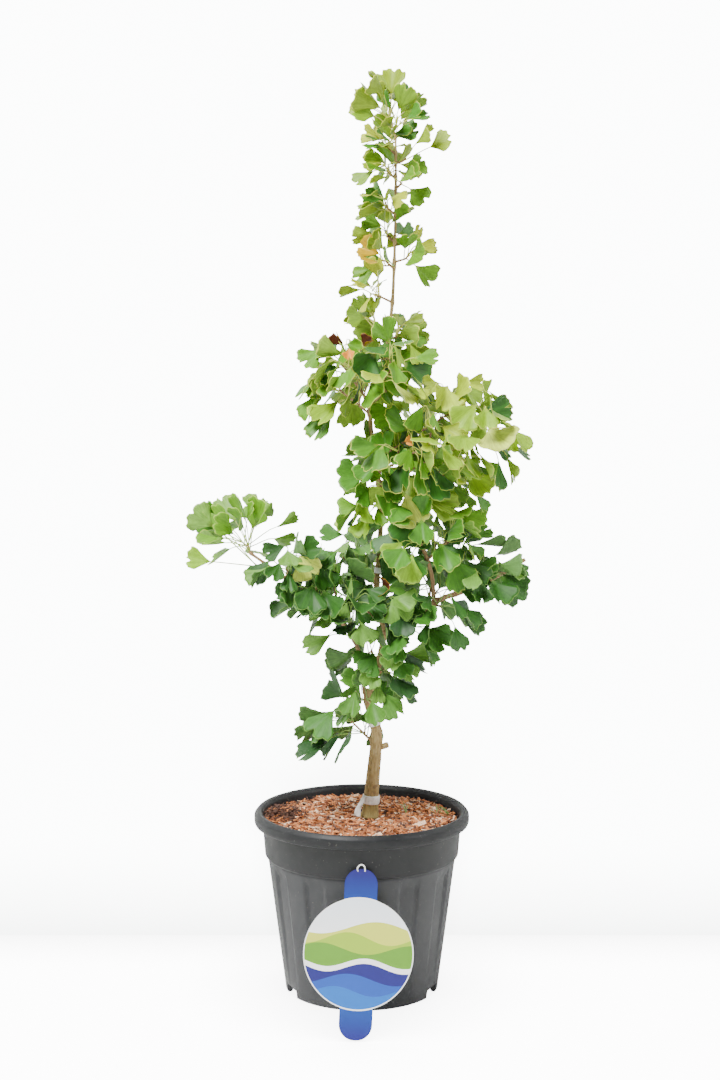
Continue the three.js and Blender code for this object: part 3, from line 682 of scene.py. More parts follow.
def leafMaterial(name, colour, margin):
    # a ginkgo's blade: satin, with fine veins that fan out from the stalk and a pale rim
    material, tree, shader = newMaterial(name, roughness=0.5)
    place = addNode(tree, "UVMap", uv_map="OFBake")
    split = addNode(tree, "SeparateXYZ", {0: place})
    fan = addNode(tree, "Mapping", {0: place, "Scale": (62, 1.6, 1)})
    veins = addNode(tree, "TexNoise", {"Vector": fan, "Scale": 1, "Detail": 4})
    patch = addNode(tree, "Mapping", {0: place, "Scale": (14, 5, 1)})
    mottle = addNode(tree, "TexNoise", {"Vector": patch, "Scale": 1, "Detail": 3})
    streak = addNode(tree, "MapRange", {"Value": veins, 1: 0.3, 2: 0.7, 3: 0.76, 4: 1.2})
    cloud = addNode(tree, "MapRange", {"Value": mottle, 1: 0.3, 2: 0.7, 3: 0.84, 4: 1.12})
    shade = addNode(tree, "Math", {0: streak, 1: cloud}, operation="MULTIPLY")
    toned = {0: 1.0, 6: linear(colour), 7: shade}
    body = addNode(tree, "Mix", toned, data_type="RGBA", blend_type="MULTIPLY").outputs[2]
    rim = addNode(tree, "MapRange", {"Value": split.outputs[1], 1: 0.955, 2: 0.985, 3: 0, 4: 0.75})
    foot = addNode(tree, "MapRange", {"Value": split.outputs[1], 1: 0.22, 2: 0.02, 3: 0, 4: 0.45})
    pale = addNode(tree, "Math", {0: rim, 1: foot}, operation="MAXIMUM")
    mixed = addNode(tree, "Mix", {0: pale, 6: body, 7: linear(margin)}, data_type="RGBA").outputs[2]
    bump = addNode(tree, "Bump", {"Height": veins, "Strength": 0.25, "Distance": 0.6 * mm})
    setInputs(tree, shader, {"Base Color": mixed, "Normal": bump, "Specular IOR Level": 0.3})
    return material


sprays = {}  # the leaves of each kind, with its front, back and rim
for plan in allLeaves:
    tier = plan["mass"]["tier"]
    if "odd" in plan:
        look = [oddLeaves[plan["odd"]][part] for part in ("front", "back", "rim")]
        kind = f"{tier}_{plan['odd']}"
    else:
        tint = int(dice(plan["spray"] * 977 + 5)(0, len(leafTints[tier])))
        look = [leafTints[tier][tint], undersides[tier], margins[tier]]
        kind = f"{tier}_{tint + 1}"
    sprays.setdefault(kind, (tier, look, []))[2].append(plan)
bent = bpy.data.meshes.new("bent")
leafTriangles = 0
for kind, (tier, (frontColour, backColour, rimColour), plans) in sorted(sprays.items()):
    front = leafMaterial("leafBlade_" + kind, frontColour, rimColour)
    back = leafMaterial("leafBack_" + kind, backColour, rimColour)
    whole = bmesh.new()
    whole.loops.layers.uv.new("OFBake")
    for plan in plans:
        one = template.copy()
        bendLeaf(one, plan)
        bmesh.ops.remove_doubles(one, verts=one.verts[:], dist=1e-6)
        one.to_mesh(bent)
        one.free()
        whole.from_mesh(bent)
    leafTriangles += sum(len(f.verts) - 2 for f in whole.faces)
    nodes = sorted(n for n, m in masses.items() if m["tier"] == tier)
    finishPiece("leaves_" + kind, whole, [front, back], nodes)
print(f"leaf triangles: {leafTriangles}")

# stalks and twigs
stalkForm = {"girth": (0.85, 0.65), "steps": 4, "sink": 1.5, "past": 1, "handles": (0.45, 0.25)}
stalkColours = {"low": "#7d9a48", "middle": "#9cb25a", "high": "#b4bf66", "top": "#b9b765"}


def tubePiece(name, tubes, material, nodes=(), resolution=0):
    curve = bpy.data.curves.new(name, "CURVE")
    curve.dimensions = "3D"
    curve.bevel_depth = mm
    curve.bevel_resolution = resolution
    curve.use_fill_caps = True
    for line, girth in tubes:
        spline = curve.splines.new("POLY")
        spline.points.add(len(line) - 1)
        for k, p in enumerate(line):
            spline.points[k].co = (*(p * mm), 1)
            spline.points[k].radius = taper(girth)(k / (len(line) - 1))
    source = bpy.data.objects.new(name + "_curve", curve)
    mesh = bpy.data.meshes.new_from_object(source)
    bpy.data.objects.remove(source)
    bpy.data.curves.remove(curve)
    placePiece(name, mesh, [material], nodes)


def stalkLine(plan):
    root, neck, way, stalkWay = plan["root"], plan["neck"], plan["way"], plan["stalkWay"]
    out, back = [share * (neck - root).length for share in stalkForm["handles"]]
    start, end = root - stalkWay * stalkForm["sink"], neck + way * stalkForm["past"]
    return interpolate_bezier(start, root + stalkWay * out, neck - way * back, end, stalkForm["steps"] + 1)


for tier, colour in stalkColours.items():
    stops = [(0.3, colour), (0.75, margins[tier])]
    material = mottled(f"leafStalk_{tier}", 0.45, 45, 2, stops)  # smooth green stalk
    tubes = [(stalkLine(plan), stalkForm["girth"]) for plan in allLeaves if plan["mass"]["tier"] == tier]
    tubePiece(f"stalks_{tier}", tubes, material)


barkMoss = "#84793e"  # the bark's colour below the lowest tape


# bark: young wood, tan-grey with fine cracks, pale pores and a few dark scars
def barkMaterial(name, pale, mid, dark, cracks):
    material, tree, shader = newMaterial(name, roughness=0.8)
    place = addNode(tree, "TexCoord").outputs["Object"]
    stretch = addNode(tree, "Mapping", {0: place, "Scale": (1, 1, 0.22)})
    grain = addNode(tree, "TexNoise", {"Vector": stretch, "Scale": cracks, "Detail": 6})
    cloud = addNode(tree, "TexNoise", {"Vector": place, "Scale": 38, "Detail": 3})
    flat = addNode(tree, "Mapping", {0: place, "Scale": (1, 1, 2.6)})
    pores = addNode(tree, "TexVoronoi", {"Vector": flat, "Scale": 190})
    pore = addNode(tree, "MapRange", {"Value": pores, 1: 0.12, 2: 0.2, 3: 0.6, 4: 0})
    scars = addNode(tree, "TexNoise", {"Vector": place, "Scale": 62, "Detail": 2})
    scar = addNode(tree, "MapRange", {"Value": scars, 1: 0.62, 2: 0.7, 3: 0, 4: 0.7})
    split = addNode(tree, "SeparateXYZ", {0: place})
    low = addNode(tree, "MapRange", {"Value": split.outputs[2], 1: 0.272, 2: 0.28, 3: 0.55, 4: 0})
    shade = addNode(tree, "ValToRGB", {0: grain}, [(0.3, dark), (0.5, mid), (0.72, pale)])
    for factor, colour in ((cloud, mid), (pore, pale), (scar, dark), (low, barkMoss)):
        shade = addNode(tree, "Mix", {0: factor, 6: shade, 7: linear(colour)}, data_type="RGBA").outputs[2]
    bump = addNode(tree, "Bump", {"Height": grain, "Strength": 0.5, "Distance": 1 * mm})
    setInputs(tree, shader, {"Base Color": shade, "Normal": bump})
    return material


oldBark = barkMaterial("barkOld", "#bda87c", "#9a8252", "#634d2f", 420)
youngBark = barkMaterial("barkYoung", "#b59a78", "#93744f", "#5d4430", 520)
tubePiece("twigs", shoots, youngBark, sorted(masses), resolution=1)

# trunk and boughs: a grid rolled round each limb's line, with swellings at the seats and a rough skin
barkForm = {
    "trunk": {"sides": 40, "rough": 0.5, "flare": 2.5},
    "leader": {"sides": 24, "rough": 0.28},
    "bough": {"sides": 20, "rough": 0.25},
    "flareHeight": 14,
    "swell": 0.9,
    "swellLength": 5,
    "step": 2,  # from ring to ring
    "ridges": 0.28,  # how close the bark's ridges are, and how drawn out upwards
    "drawn": 0.25,
}


def evenLine(line, step):
    length = sum((b - a).length for a, b in zip(line, line[1:]))
    count = max(2, round(length / step))
    return [along(line, k / count)[0] for k in range(count + 1)], length


def rollTube(bm, line, girthAt, sides, rough=0):
    ways = [(after - before).normalized() for before, after in zip([line[0], *line], [*line[1:], line[-1]])]
    side = square(ways[0], Vector((1, 0, 0)) if abs(ways[0].x) < 0.9 else Vector((0, 1, 0)))
    frames = []
    for way in ways:
        side = square(way, side)
        frames.append((side, way.cross(side)))
    grid = bmesh.ops.create_grid(bm, x_segments=sides, y_segments=len(line) - 1, size=0.5)["verts"]
    for v in grid:
        turned = (v.co.x + 0.5) * 2 * math.pi
        ring = round((v.co.y + 0.5) * (len(line) - 1))
        across, over = frames[ring]
        out = across * math.cos(turned) + over * math.sin(turned)
        girth = girthAt(ring / (len(line) - 1))
        place = line[ring] + out * girth
        if rough:
            spot = Vector((place.x, place.y, place.z * barkForm["drawn"])) * barkForm["ridges"]
            place += out * rough * noise.fractal(spot, 1, 2, 4)
        v.co = place * mm
    bmesh.ops.remove_doubles(bm, verts=grid, dist=1e-7)
    bmesh.ops.holes_fill(bm, edges=[e for e in bm.edges if e.is_boundary], sides=sides)


def swellings(name, length):
    feet = [limb["foot"] for limb in limbs.values() if "foot" in limb]
    seats = [piece["on"][1] for piece in [*masses.values(), *feet] if piece["on"][0] == name]

    def extra(share):
        away = [(share - at) * length / barkForm["swellLength"] for at in seats]
        return sum(math.exp(-(far**2)) for far in away) * barkForm["swell"]

    return extra


def limbPiece(bm, name, form):
    limb = limbs[name]
    line, length = evenLine(limb["skin"], barkForm["step"])
    if "middle" in limb:
        line.insert(0, limb["middle"])
    bumps = swellings(name, length)

    def girthAt(share):
        flare = form.get("flare", 0) * max(0, 1 - share * length / barkForm["flareHeight"]) ** 2
        return taper(limb["girth"])(share) + flare + bumps(share)

    rollTube(bm, line, girthAt, form["sides"], form["rough"])


# old pruning cuts that stand out of the wood, each with a worn end
cuts = [
    {"on": ("trunk", 0.53), "heading": -8, "rise": 38, "length": 12, "girth": 4.4},
    {"on": ("leader", 0.538), "heading": 8, "rise": 48, "length": 22, "girth": 4.4},
    {"on": ("leader", 0.273), "heading": 170, "rise": 35, "length": 6, "girth": 3.2},
]
cutForm = {"sides": 20, "rough": 0.3, "worn": 0.15}  # worn: how much the last sixth narrows


def cutGirth(cut):
    return lambda share: cut["girth"] * (1 - cutForm["worn"] * max(0, share * 6 - 5) ** 2)


bm = bmesh.new()
limbPiece(bm, "trunk", barkForm["trunk"])
limbPiece(bm, "leader", barkForm["leader"])
for cut in cuts:
    middle, start = seat(cut)
    end = start + heading(cut["heading"], cut["rise"]) * cut["length"]
    rollTube(bm, evenLine([middle, end], 1)[0], cutGirth(cut), cutForm["sides"], cutForm["rough"])
finishPiece("trunkBark", bm, [oldBark], ["trunk"])
bm = bmesh.new()
for name in ("left_bough", "right_bough", "right_fork"):
    limbPiece(bm, name, barkForm["bough"])
finishPiece("boughBark", bm, [youngBark], ["left_bough", "right_bough", "right_fork"])
print("wood ready")

# grafting tape: stretched white film wound round the stem
tapes = {
    "foot_tape": {"on": ("trunk", 0.137), "width": 12},
    "graft_tape": {"on": ("trunk", 0.75), "width": 14},
    "leader_tape": {"on": ("leader", 0.233), "width": 8},
}
tapeForm = {"slack": 0.7, "thick": 0.9, "sides": 48, "rings": 10, "folds": 0.25, "edge": 0.55}


def tapeGirth(girth):
    full = 1 - tapeForm["edge"]  # the winding is thinner at its two edges

    def girthAt(share):
        bulge = math.sin(math.pi * min(max(share, 0.02), 0.98)) ** 0.3
        return girth + tapeForm["thick"] * (tapeForm["edge"] + full * bulge)

    return girthAt


tapeFilm = mottled("tapeFilm", 0.5, 160, 4, [(0.3, "#cfcdc4"), (0.6, "#efeee9")])
for name, band in tapes.items():
    limbName, share = band["on"]
    limb = limbs[limbName]
    reach = evenLine(limb["line"], 5)[1]
    girth = taper(limb["girth"])(share) + tapeForm["slack"]
    line = []
    for k in range(tapeForm["rings"] + 1):
        aside = (k / tapeForm["rings"] - 0.5) * band["width"] / reach
        line.append(along(limb["line"], share + aside)[0])
    bm = bmesh.new()
    rollTube(bm, line, tapeGirth(girth), tapeForm["sides"], tapeForm["folds"])
    finishPiece(name, bm, [tapeFilm], [name])

# the foot tape's loose end, which hangs down the left of the stem to the compost
tapeTail = {
    "points": [(4, -10, 284), (0, -12, 275), (-5, -13, 265), (-7, -14, 254)],
    "widths": (4, 11),
    "across": (0.93, -0.36, 0),
    "rows": 12,
    "curl": 1.2,
    "thick": 0.3,
}
tail = smoothLine([Vector(p) for p in tapeTail["points"]], 4)
bm = bmesh.new()
bmesh.ops.create_grid(bm, x_segments=3, y_segments=tapeTail["rows"], size=0.5)
for v in bm.verts:
    down = v.co.y + 0.5
    curl = Vector((0, -tapeTail["curl"] * math.sin(v.co.x * 3 + down * 4), 0))
    width = taper(tapeTail["widths"])(down)
    v.co = (along(tail, down)[0] + Vector(tapeTail["across"]) * v.co.x * width + curl) * mm
bmesh.ops.solidify(bm, geom=bm.faces[:], thickness=tapeTail["thick"] * mm)
finishPiece("tapeTail", bm, [tapeFilm])

# the pot: one profile spun round, then its flutes pressed in and its drains raised out of the foot ring
potForm = {
    "height": 262,
    "rimRadius": 155,
    "lipDrop": 20,
    "lipWidth": 12,
    "collarRadius": 143,
    "collarTaper": 3.5,
    "collarDrop": 44,
    "ledge": 4,  # how far the collar stands out over the wall, and how far below its foot the wall ends
    "ledgeDrop": 3,
    "footRadius": 110.5,
    "footRing": 6,
    "footRise": 6,
    "padRadius": 46,
    "wall": 3,
    "floor": 16,
    "flutes": 12,
    "fluteDepth": 4.6,
    "fluteHalf": 5.4,
    "fluteSlope": 2.2,
    "fluteLow": 0.6,  # the share of its depth that a flute has half-way up
    "fluteHead": (8, 5, 7),  # how far its round head is below the collar, how round, and how it runs out
    "steps": 324,
    "notches": (-25, -155, 25, 155),
    "notchWidth": 30,
    "notchHeight": 13,
    "bevel": 1.4,
    "rings": 24,  # up the fluted wall
}


def potPiece(material):
    form, top = potForm, potForm["height"]
    lipFoot = top - form["lipDrop"]
    collarFoot = lipFoot - form["collarDrop"]
    band = form["collarRadius"] - form["collarTaper"]
    wall, wallTop = band - form["ledge"], collarFoot - form["ledgeDrop"]
    foot = form["footRadius"]
    inner = wall - form["fluteDepth"] - form["wall"]
    rim, lip = form["rimRadius"], form["rimRadius"] - form["lipWidth"]
    profile = [
        (0, 0), (form["padRadius"], 0), (form["padRadius"] + 3, form["footRise"]),
        (foot - form["footRing"] - 2, form["footRise"]), (foot - form["footRing"], 0), (foot, 0),
    ]
    for k in range(1, form["rings"]):
        share = k / form["rings"]
        profile.append((foot + (wall - foot) * share, wallTop * share))
    profile += [
        (wall, wallTop), (band, collarFoot), (form["collarRadius"], lipFoot),
        (rim - 1.5, lipFoot + 0.5), (rim, lipFoot + 5), (rim, top - 6), (rim - 5, top),
        (lip + 2, top - 1), (lip - 1, top - 6), (form["collarRadius"] - form["wall"], lipFoot),
        (band - form["wall"], collarFoot + 3), (inner, collarFoot - 4),
        (foot - form["fluteDepth"] - form["wall"], form["floor"]), (0, form["floor"]),
    ]
    bm = profileOf(profile)
    collar, ring = (collarFoot - 6) * mm, (foot - form["footRing"] - 3) * mm
    corners = [v for v in bm.verts if v.co.z > collar or (v.co.z < 1 * mm and v.co.x > ring)]
    bmesh.ops.bevel(
        bm, geom=corners, offset=form["bevel"] * mm, offset_type="OFFSET", segments=3,
        profile=0.5, affect="VERTICES", material=-1,
    )
    spinRound(bm, form["steps"])
    step = 360 / form["flutes"]
    half, slope, low = form["fluteHalf"], form["fluteSlope"], form["fluteLow"]
    headDrop, headRound, headFade = form["fluteHead"]
    for v in bm.verts:
        r, z = v.co.xy.length / mm, v.co.z / mm
        outside = foot - 1 + (wall - foot) * z / wallTop
        if not (r > outside - 1 and 0.5 < z < wallTop - 0.5):
            continue
        turned = math.degrees(math.atan2(v.co.y, v.co.x))
        off = abs((turned + step / 2) % step - step / 2)
        press = smoothStep((half + slope - off) / slope)
        halves = z / (collarFoot * 0.5)
        deepen = clamp(halves) * low + (1 - low) * clamp(halves - 1)
        crown = collarFoot - headDrop - headRound * clamp(off / half) ** 2
        depth = form["fluteDepth"] * press * deepen * smoothStep((crown - z) / headFade)
        v.co.xy *= (r - depth) / r
    for v in bm.verts:
        r, z = v.co.xy.length / mm, v.co.z / mm
        turned = math.degrees(math.atan2(v.co.y, v.co.x))
        if r > foot - form["footRing"] - 1.5 and z < form["notchHeight"]:
            for at in form["notches"]:
                if abs(turned - at) * math.pi / 180 * foot < form["notchWidth"] / 2:
                    v.co.z = max(z, form["notchHeight"] if r > foot - 3 else form["footRise"] + 1) * mm
    bmesh.ops.recalc_face_normals(bm, faces=bm.faces[:])
    finishPiece("nurseryPot", bm, [material], ["pot"])


# moulded polypropylene: charcoal, satin, scuffed and a little dusty, with a painted reflection of the white
# floor on the wall
potPlastic, tree, shader = newMaterial("potPlastic", roughness=0.48)
place = addNode(tree, "TexCoord").outputs["Object"]
cloud = addNode(tree, "TexNoise", {"Vector": place, "Scale": 14, "Detail": 6})
dust = addNode(tree, "TexNoise", {"Vector": place, "Scale": 240, "Detail": 3})
specks = addNode(tree, "MapRange", {"Value": dust, 1: 0.66, 2: 0.8, 3: 0, 4: 0.35})
split = addNode(tree, "SeparateXYZ", {0: place})
# painted reflection: the wall below the collar is painted a lighter grey, standing in for the bright floor
# shining in it
below = addNode(tree, "MapRange", {"Value": split.outputs[2], 1: 0.196, 2: 0.191, 3: 0, 4: 0.55})
shade = addNode(tree, "ValToRGB", {0: cloud}, [(0.25, "#17181a"), (0.55, "#1f2021"), (0.8, "#2b2b2c")])
for factor, colour in ((below, "#48494b"), (specks, "#77736c")):
    shade = addNode(tree, "Mix", {0: factor, 6: shade, 7: linear(colour)}, data_type="RGBA").outputs[2]
dull = addNode(tree, "MapRange", {"Value": cloud, 1: 0.3, 2: 0.7, 3: 0.4, 4: 0.58})
bump = addNode(tree, "Bump", {"Height": dust, "Strength": 0.12, "Distance": 0.4 * mm})
setInputs(tree, shader, {"Base Color": shade, "Roughness": dull, "Normal": bump, "Specular IOR Level": 0.28})
potPiece(potPlastic)
print("pot ready")

# the compost: a rough disc under loose bark chips
soilForm = {
    "top": 250, "radius": 139.5, "rings": 46, "steps": 120, "foot": 236,
    "hump": 16, "humpAt": (-116, 0), "humpWide": 30,  # the darker, finer heap at the left
    "sink": 1.5, "lump": 2.2, "lumpPace": 0.035,
    "edgeDrop": 5, "edgeFrom": 115, "edgeWide": 25,
    "stemAt": 12, "flatWide": 26,  # the level patch round the stem
}
chips = {  # of each kind: colours, how many, how steep, and the share of them that lies in the heap
    "orange": {"colour": "#a9602f", "light": "#cf8a56", "count": 1500, "slant": 26, "heap": 0.02},
    "brown": {"colour": "#733d20", "light": "#9c5e37", "count": 1300, "slant": 26, "heap": 0.08},
    "pale": {"colour": "#d3a078", "light": "#f4dcc0", "count": 620, "slant": 22, "heap": 0},
    "dark": {"colour": "#3a231a", "light": "#5d3d2d", "count": 900, "slant": 30, "heap": 0.5},
}
chipForm = {
    "size": ((6, 19), (0.9, 2.9), (0.5, 1.4)),  # long, wide and thick
    "chunkEvery": 28, "chunk": (22, 7.5, 2), "chunkShare": (0.7, 1),  # now and then a large one
    "reach": 137,  # no chip lies farther out
    "wall": 141,  # the nearer to it, the flatter a chip lies
    "stem": 16,  # no chip lies nearer to the stem
    "heapReach": 1.2, "heapSize": 0.6,  # how far chips spread from the heap's middle, and how small they are
    "tumble": 40, "over": (-0.5, 2.6), "ragged": (0.9, 0.9, 0.35),
}


def soilHeight(x, y):
    form = soilForm
    lumps = noise.fractal(Vector((x, y, 3)) * form["lumpPace"], 1, 2, 4) * form["lump"]
    aside = math.hypot(x - form["humpAt"][0], y - form["humpAt"][1])
    hump = form["hump"] * math.exp(-((aside / form["humpWide"]) ** 2))
    edge = form["edgeDrop"] * max(0, (math.hypot(x, y) - form["edgeFrom"]) / form["edgeWide"]) ** 2
    near = max(0, 1 - math.hypot(x - form["stemAt"], y) / form["flatWide"])
    return form["top"] - form["sink"] + lumps * (1 - near) + hump - edge


def soilPiece(material):
    form = soilForm
    deep = form["foot"] - form["top"]
    profile = [(form["radius"] * k / form["rings"], 0) for k in range(form["rings"] + 1)]
    bm = profileOf([*profile, (form["radius"], deep), (0, deep)])
    spinRound(bm, form["steps"])
    for v in bm.verts:
        v.co.z = (soilHeight(v.co.x / mm, v.co.y / mm) if v.co.z > deep / 2 * mm else form["foot"]) * mm
    bmesh.ops.recalc_face_normals(bm, faces=bm.faces[:])
    finishPiece("compost", bm, [material], ["soil"])


# coarse compost: dull brown crumbs, and bark chips from orange to dark, pale where they broke
soilPiece(mottled("compostCrumbs", 0.85, 260, 5, [(0.32, "#452c22"), (0.7, "#7b4d33")], bump=0.5))
heapX, heapY = soilForm["humpAt"]
for number, (name, kind) in enumerate(chips.items()):
    roll = dice(5000 + number)
    bm = bmesh.new()
    for count in range(kind["count"]):
        r, turned = chipForm["reach"] * math.sqrt(roll(0, 1)), roll(0, 2 * math.pi)
        x, y = r * math.cos(turned), r * math.sin(turned)
        size = [roll(*span) for span in chipForm["size"]]
        if count % chipForm["chunkEvery"] == 0 and name != "dark":
            size = [s * roll(*chipForm["chunkShare"]) for s in chipForm["chunk"]]
        inHeap = math.hypot(x - heapX, y - heapY) < soilForm["humpWide"]
        if roll(0, 1) < kind["heap"]:
            away = soilForm["humpWide"] * chipForm["heapReach"] * math.sqrt(roll(0, 1))
            turned = roll(0, 2 * math.pi)
            x, y = heapX + away * math.cos(turned), heapY + away * math.sin(turned)
            size = [s * chipForm["heapSize"] for s in size]
        elif inHeap and name != "dark":
            continue
        r = math.hypot(x, y)
        if math.hypot(x - soilForm["stemAt"], y) < chipForm["stem"] or r > chipForm["reach"]:
            continue
        inward = min(1, (chipForm["wall"] - r) / size[0] * 2)
        turn = Matrix.Rotation(roll(0, 2 * math.pi), 4, "Z")
        slant = math.radians(roll(-kind["slant"], kind["slant"])) * inward
        turn = turn @ Matrix.Rotation(slant, 4, "Y")
        turn = turn @ Matrix.Rotation(math.radians(roll(-chipForm["tumble"], chipForm["tumble"])), 4, "X")
        place = Vector((x, y, soilHeight(x, y) + roll(*chipForm["over"]))) * mm
        shape = Matrix.Diagonal([s * mm for s in size] + [1])
        made = bmesh.ops.create_cube(bm, size=1, matrix=Matrix.Translation(place) @ turn @ shape)["verts"]
        for v in made:
            v.co += Vector([roll(-most, most) for most in chipForm["ragged"]]) * mm
    stops = [(0.32, kind["colour"]), (0.7, kind["light"])]
    material = mottled(f"barkChip_{name}", 0.85, 420, 5, stops, bump=0.5)
    finishPiece(f"chips_{name}", bm, [material], smooth=False)

# a few blades of grass that came up at the right
weeds = {
    "at": [(124, 14), (112, 22), (66, 14)], "blades": 5, "scatter": 5,
    "rise": (25, 65), "length": (10, 24), "girth": (0.8, 0.15),
}
roll = dice(71)
blades = []
near = weeds["scatter"]
for x, y in weeds["at"]:
    for _ in range(weeds["blades"]):
        foot = Vector((x + roll(-near, near), y + roll(-near, near), soilHeight(x, y)))
        way, length = heading(roll(0, 360), roll(*weeds["rise"])), roll(*weeds["length"])
        bend = foot + way * length * 0.6 + up * 2
        blades.append(([foot, bend, bend + (way - up * 0.5).normalized() * length * 0.4], weeds["girth"]))
grass = newMaterial("grassBlade", roughness=0.5, colour="#6f8d45")[0]
tubePiece("weeds", blades, grass)
print("compost ready")

# the tag: a thin printed plastic disc with a tab above and below, hung from the pot by a thin hook
tagForm = {
    "discRadius": 75,
    "tabWidth": 45,
    "tabLength": 39,
    "corner": 21,
    "thick": 1.2,
    "head": (0, -144.5, 214.5),
    "lean": 21.5,
    "swing": -2.4,
    "hook": 1.1,
    "whiteRim": (-1.6, 0.4),  # where the white rim round the picture begins and ends, from the disc's edge
}
head = Vector(tagForm["head"])
tabEnd = tagForm["discRadius"] + tagForm["tabLength"]
tilt, swing = math.radians(90 - tagForm["lean"]), math.radians(tagForm["swing"])
tagTurn = Matrix.Rotation(tilt, 4, "X") @ Matrix.Rotation(swing, 4, "Z")


def arc(centre, radius, start, end, count):
    turns = [math.radians(start + (end - start) * k / count) for k in range(count + 1)]
    return [(centre[0] + radius * math.cos(t), centre[1] + radius * math.sin(t)) for t in turns]


def tagPiece(materials):
    form = tagForm
    half, corner = form["tabWidth"] / 2, form["corner"]
    opening = math.degrees(math.asin(half / form["discRadius"]))
    rim = arc((0, 0), form["discRadius"], 90 - opening, opening - 90, 40)
    rim += arc((half - corner, corner - tabEnd), corner, 0, -90, 8)
    rim += arc((corner - half, corner - tabEnd), corner, -90, -180, 8)
    rim += [(-x, -y) for x, y in rim]  # the other half is this one turned round
    bm = bmesh.new()
    face = bm.faces.new([bm.verts.new((x * mm, y * mm, 0)) for x, y in reversed(rim)])
    made = bmesh.ops.extrude_face_region(bm, geom=[face])["geom"]
    front = [v for v in made if isinstance(v, bmesh.types.BMVert)]
    bmesh.ops.translate(bm, verts=front, vec=(0, 0, form["thick"] * mm))
    bmesh.ops.recalc_face_normals(bm, faces=bm.faces[:])
    drop = Matrix.Translation(Vector((0, -tabEnd, -form["thick"] / 2)) * mm)
    bm.transform(Matrix.Translation(head * mm) @ tagTurn @ drop)
    finishPiece("plantTag", bm, materials, ["plant_tag"], smooth=False)


# printed polypropylene sheet: gloss, blue tabs, and on the disc a white sky over green hills and blue water
# each band of the picture lies under a wavy line: its level, the wave's height, pace and phase, its colour
tagBands = [
    (34, 9, 0.04, 0.6, "#ccd24e"),
    (20, 8, 0.055, 2.4, "#9cbc2c"),
    (6, 7, 0.05, 4.2, "#64982a"),
    (-12, 6, 0.06, 1.0, "#ffffff"),
    (-19, 6, 0.06, 1.0, "#242472"),
    (-34, 7, 0.05, 2.2, "#2450aa"),
    (-50, 6, 0.06, 3.4, "#1c69be"),
]
tagPrint, tree, shader = newMaterial("tagPrint", roughness=0.28)
place = addNode(tree, "TexCoord").outputs["Object"]
middle = (head + tagTurn @ Vector((0, -tabEnd, 0))) * mm
shifted = addNode(tree, "VectorMath", {0: place, 1: middle}, operation="SUBTRACT")
flat = addNode(tree, "Mapping", {0: shifted, "Rotation": (-tilt, 0, -swing), "Scale": (1000, 1000, 1000)})
split = addNode(tree, "SeparateXYZ", {0: flat})
radius = addNode(tree, "VectorMath", {0: flat}, operation="LENGTH")
blend = addNode(tree, "MapRange", {"Value": split.outputs[1], 1: -110, 2: 110, 3: 0, 4: 1})
blues = [(0.0, "#24267c"), (0.2, "#124a9c"), (0.8, "#0f3c90"), (1.0, "#1c186a")]
blue = addNode(tree, "ValToRGB", {0: blend}, blues)
sky = addNode(tree, "MapRange", {"Value": split.outputs[1], 1: 20, 2: 75, 3: 0, 4: 1})
picture = addNode(tree, "ValToRGB", {0: sky}, [(0.0, "#ffffff"), (1.0, "#eaf3fa")])
for level, tall, pace, phase, colour in tagBands:
    angle = addNode(tree, "Math", {0: split, 1: pace, 2: phase}, operation="MULTIPLY_ADD")
    swell = addNode(tree, "Math", {0: angle}, operation="SINE")
    line = addNode(tree, "Math", {0: swell, 1: tall, 2: level}, operation="MULTIPLY_ADD")
    under = addNode(tree, "Math", {0: split.outputs[1], 1: line}, operation="LESS_THAN")
    band = {0: under, 6: picture, 7: linear(colour)}
    picture = addNode(tree, "Mix", band, data_type="RGBA").outputs[2]
for past, around in zip(tagForm["whiteRim"], (linear("#f6f7f7"), blue)):
    reach = {0: radius.outputs["Value"], 1: tagForm["discRadius"] + past}
    inside = addNode(tree, "Math", reach, operation="LESS_THAN")
    picture = addNode(tree, "Mix", {0: inside, 6: around, 7: picture}, data_type="RGBA").outputs[2]
setInputs(tree, shader, {"Base Color": picture})
tagPiece([tagPrint])
hookPlastic = newMaterial("hookPlastic", roughness=0.35, colour="#ecebe6")[0]
hookPoints = [
    (-5, -0.8, -4), (-6, -1.8, 1), (-3, -2.4, 5.5), (1, -2.4, 6.2), (4, -2.2, 3), (4.5, -1.6, -3),
]
hook = smoothLine([head + Vector(p) for p in hookPoints], 6), (tagForm["hook"], tagForm["hook"])
tubePiece("tagHook", [hook], hookPlastic, resolution=3)
print("tag ready")
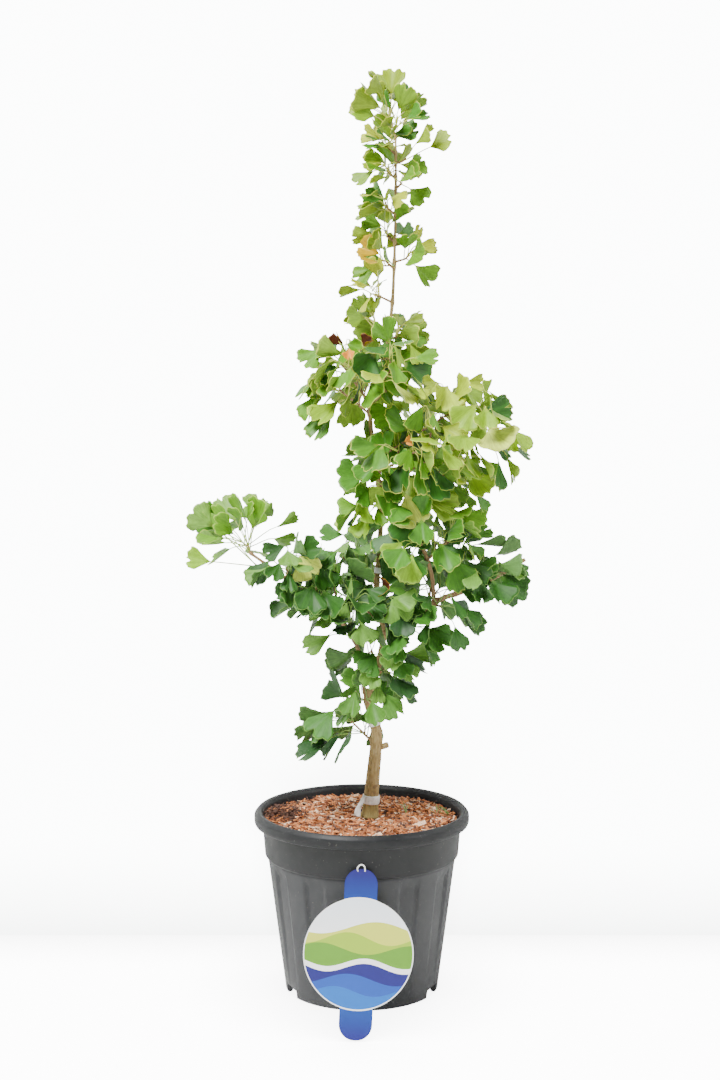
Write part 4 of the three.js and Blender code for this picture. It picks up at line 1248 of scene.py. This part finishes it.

# floor, board and lights: white sheets that look bright to the camera and like white paint to the plant,
# with painted shade that darkens their glow in the corner and under the pot; seen from behind, the board
# isn't there
stageLook = {
    "world": "#ffffff",
    "worldPower": 0.16,
    "sheets": {
        # dim: each sheet's glow power where its painted shade is darkest
        "floor": {
            "paint": "#f6f6f4", "glow": "#ffffff", "size": 6, "place": (0, 0, 0), "turn": 0, "dim": 7,
        },
        "backdrop": {
            "paint": "#eef0ee", "glow": "#f9fcfb", "size": 8, "place": (0, 0.225, 0), "turn": 90, "dim": 6,
        },
    },
    "bright": 13,
    "shine": 0.02,  # the share of it that shows in the plant's and the pot's gloss
    "paintedShadeReach": 0.16,  # how far the painted shade in the corner and under the pot reaches
}
for name, look in stageLook["sheets"].items():
    material, tree, shader = newMaterial(name + "Paint", roughness=0.9, colour=look["paint"])
    # painted shade: ambient occlusion lowers the sheet's glow from its bright power to its dim power in the
    # corner and under the pot
    near = addNode(tree, "AmbientOcclusion", {"Distance": stageLook["paintedShadeReach"]}, samples=8)
    paintedShadeRange = {"Value": near.outputs["AO"], 1: 0.4, 2: 1, 3: look["dim"], 4: stageLook["bright"]}
    power = addNode(tree, "MapRange", paintedShadeRange)
    glow = addNode(tree, "Emission", {0: linear(look["glow"]), 1: power})
    path = addNode(tree, "LightPath")
    side = addNode(tree, "NewGeometry")
    clear = addNode(tree, "BsdfTransparent")
    rays = {0: path.outputs["Is Glossy Ray"], 1: stageLook["shine"], 2: path.outputs["Is Camera Ray"]}
    seen = addNode(tree, "Math", rays, operation="MULTIPLY_ADD")
    lit = addNode(tree, "MixShader", {0: seen, 1: shader, 2: glow})
    oneSided = addNode(tree, "MixShader", {0: side.outputs["Backfacing"], 1: lit, 2: clear})
    setInputs(tree, tree.nodes["Material Output"], {0: oneSided})
    bm = bmesh.new()
    bmesh.ops.create_grid(bm, x_segments=1, y_segments=1, size=look["size"])
    bm.transform(Matrix.Translation(look["place"]) @ Matrix.Rotation(math.radians(look["turn"]), 4, "X"))
    mesh = bpy.data.meshes.new(name)
    bm.to_mesh(mesh)
    bm.free()
    mesh.materials.append(material)
    sheet = bpy.data.objects.new(name, mesh)
    bpy.context.collection.objects.link(sheet)
world = bpy.data.worlds.new("world")
world.use_nodes = True
tree = world.node_tree
path = addNode(tree, "LightPath")
power = addNode(
    tree,
    "MapRange",
    {"Value": path.outputs["Is Camera Ray"], 3: stageLook["worldPower"], 4: stageLook["bright"]},
)
setInputs(tree, tree.nodes["Background"], {0: linear(stageLook["world"]), 1: power})
bpy.context.scene.world = world
lamps = {
    "keyLight": {"power": 250, "size": 1.1, "place": (-1.3, -1.5, 3.1), "aim": (0, 0, 0.7)},
    "sideLight": {"power": 50, "size": 1.4, "place": (2.4, -1.1, 1.9), "aim": (0, 0, 0.5)},
    "fillLight": {"power": 12, "size": 1.6, "place": (-0.2, -3.4, 1.6), "aim": (0, 0, 0.5)},
}
for name, look in lamps.items():
    lamp = bpy.data.lights.new(name, "AREA")
    lamp.energy = look["power"]
    lamp.size = look["size"]
    light = bpy.data.objects.new(name, lamp)
    light.location = look["place"]
    aim = Vector(look["aim"]) - light.location
    light.rotation_euler = aim.to_track_quat("-Z", "Y").to_euler()
    bpy.context.collection.objects.link(light)
print("stage ready")
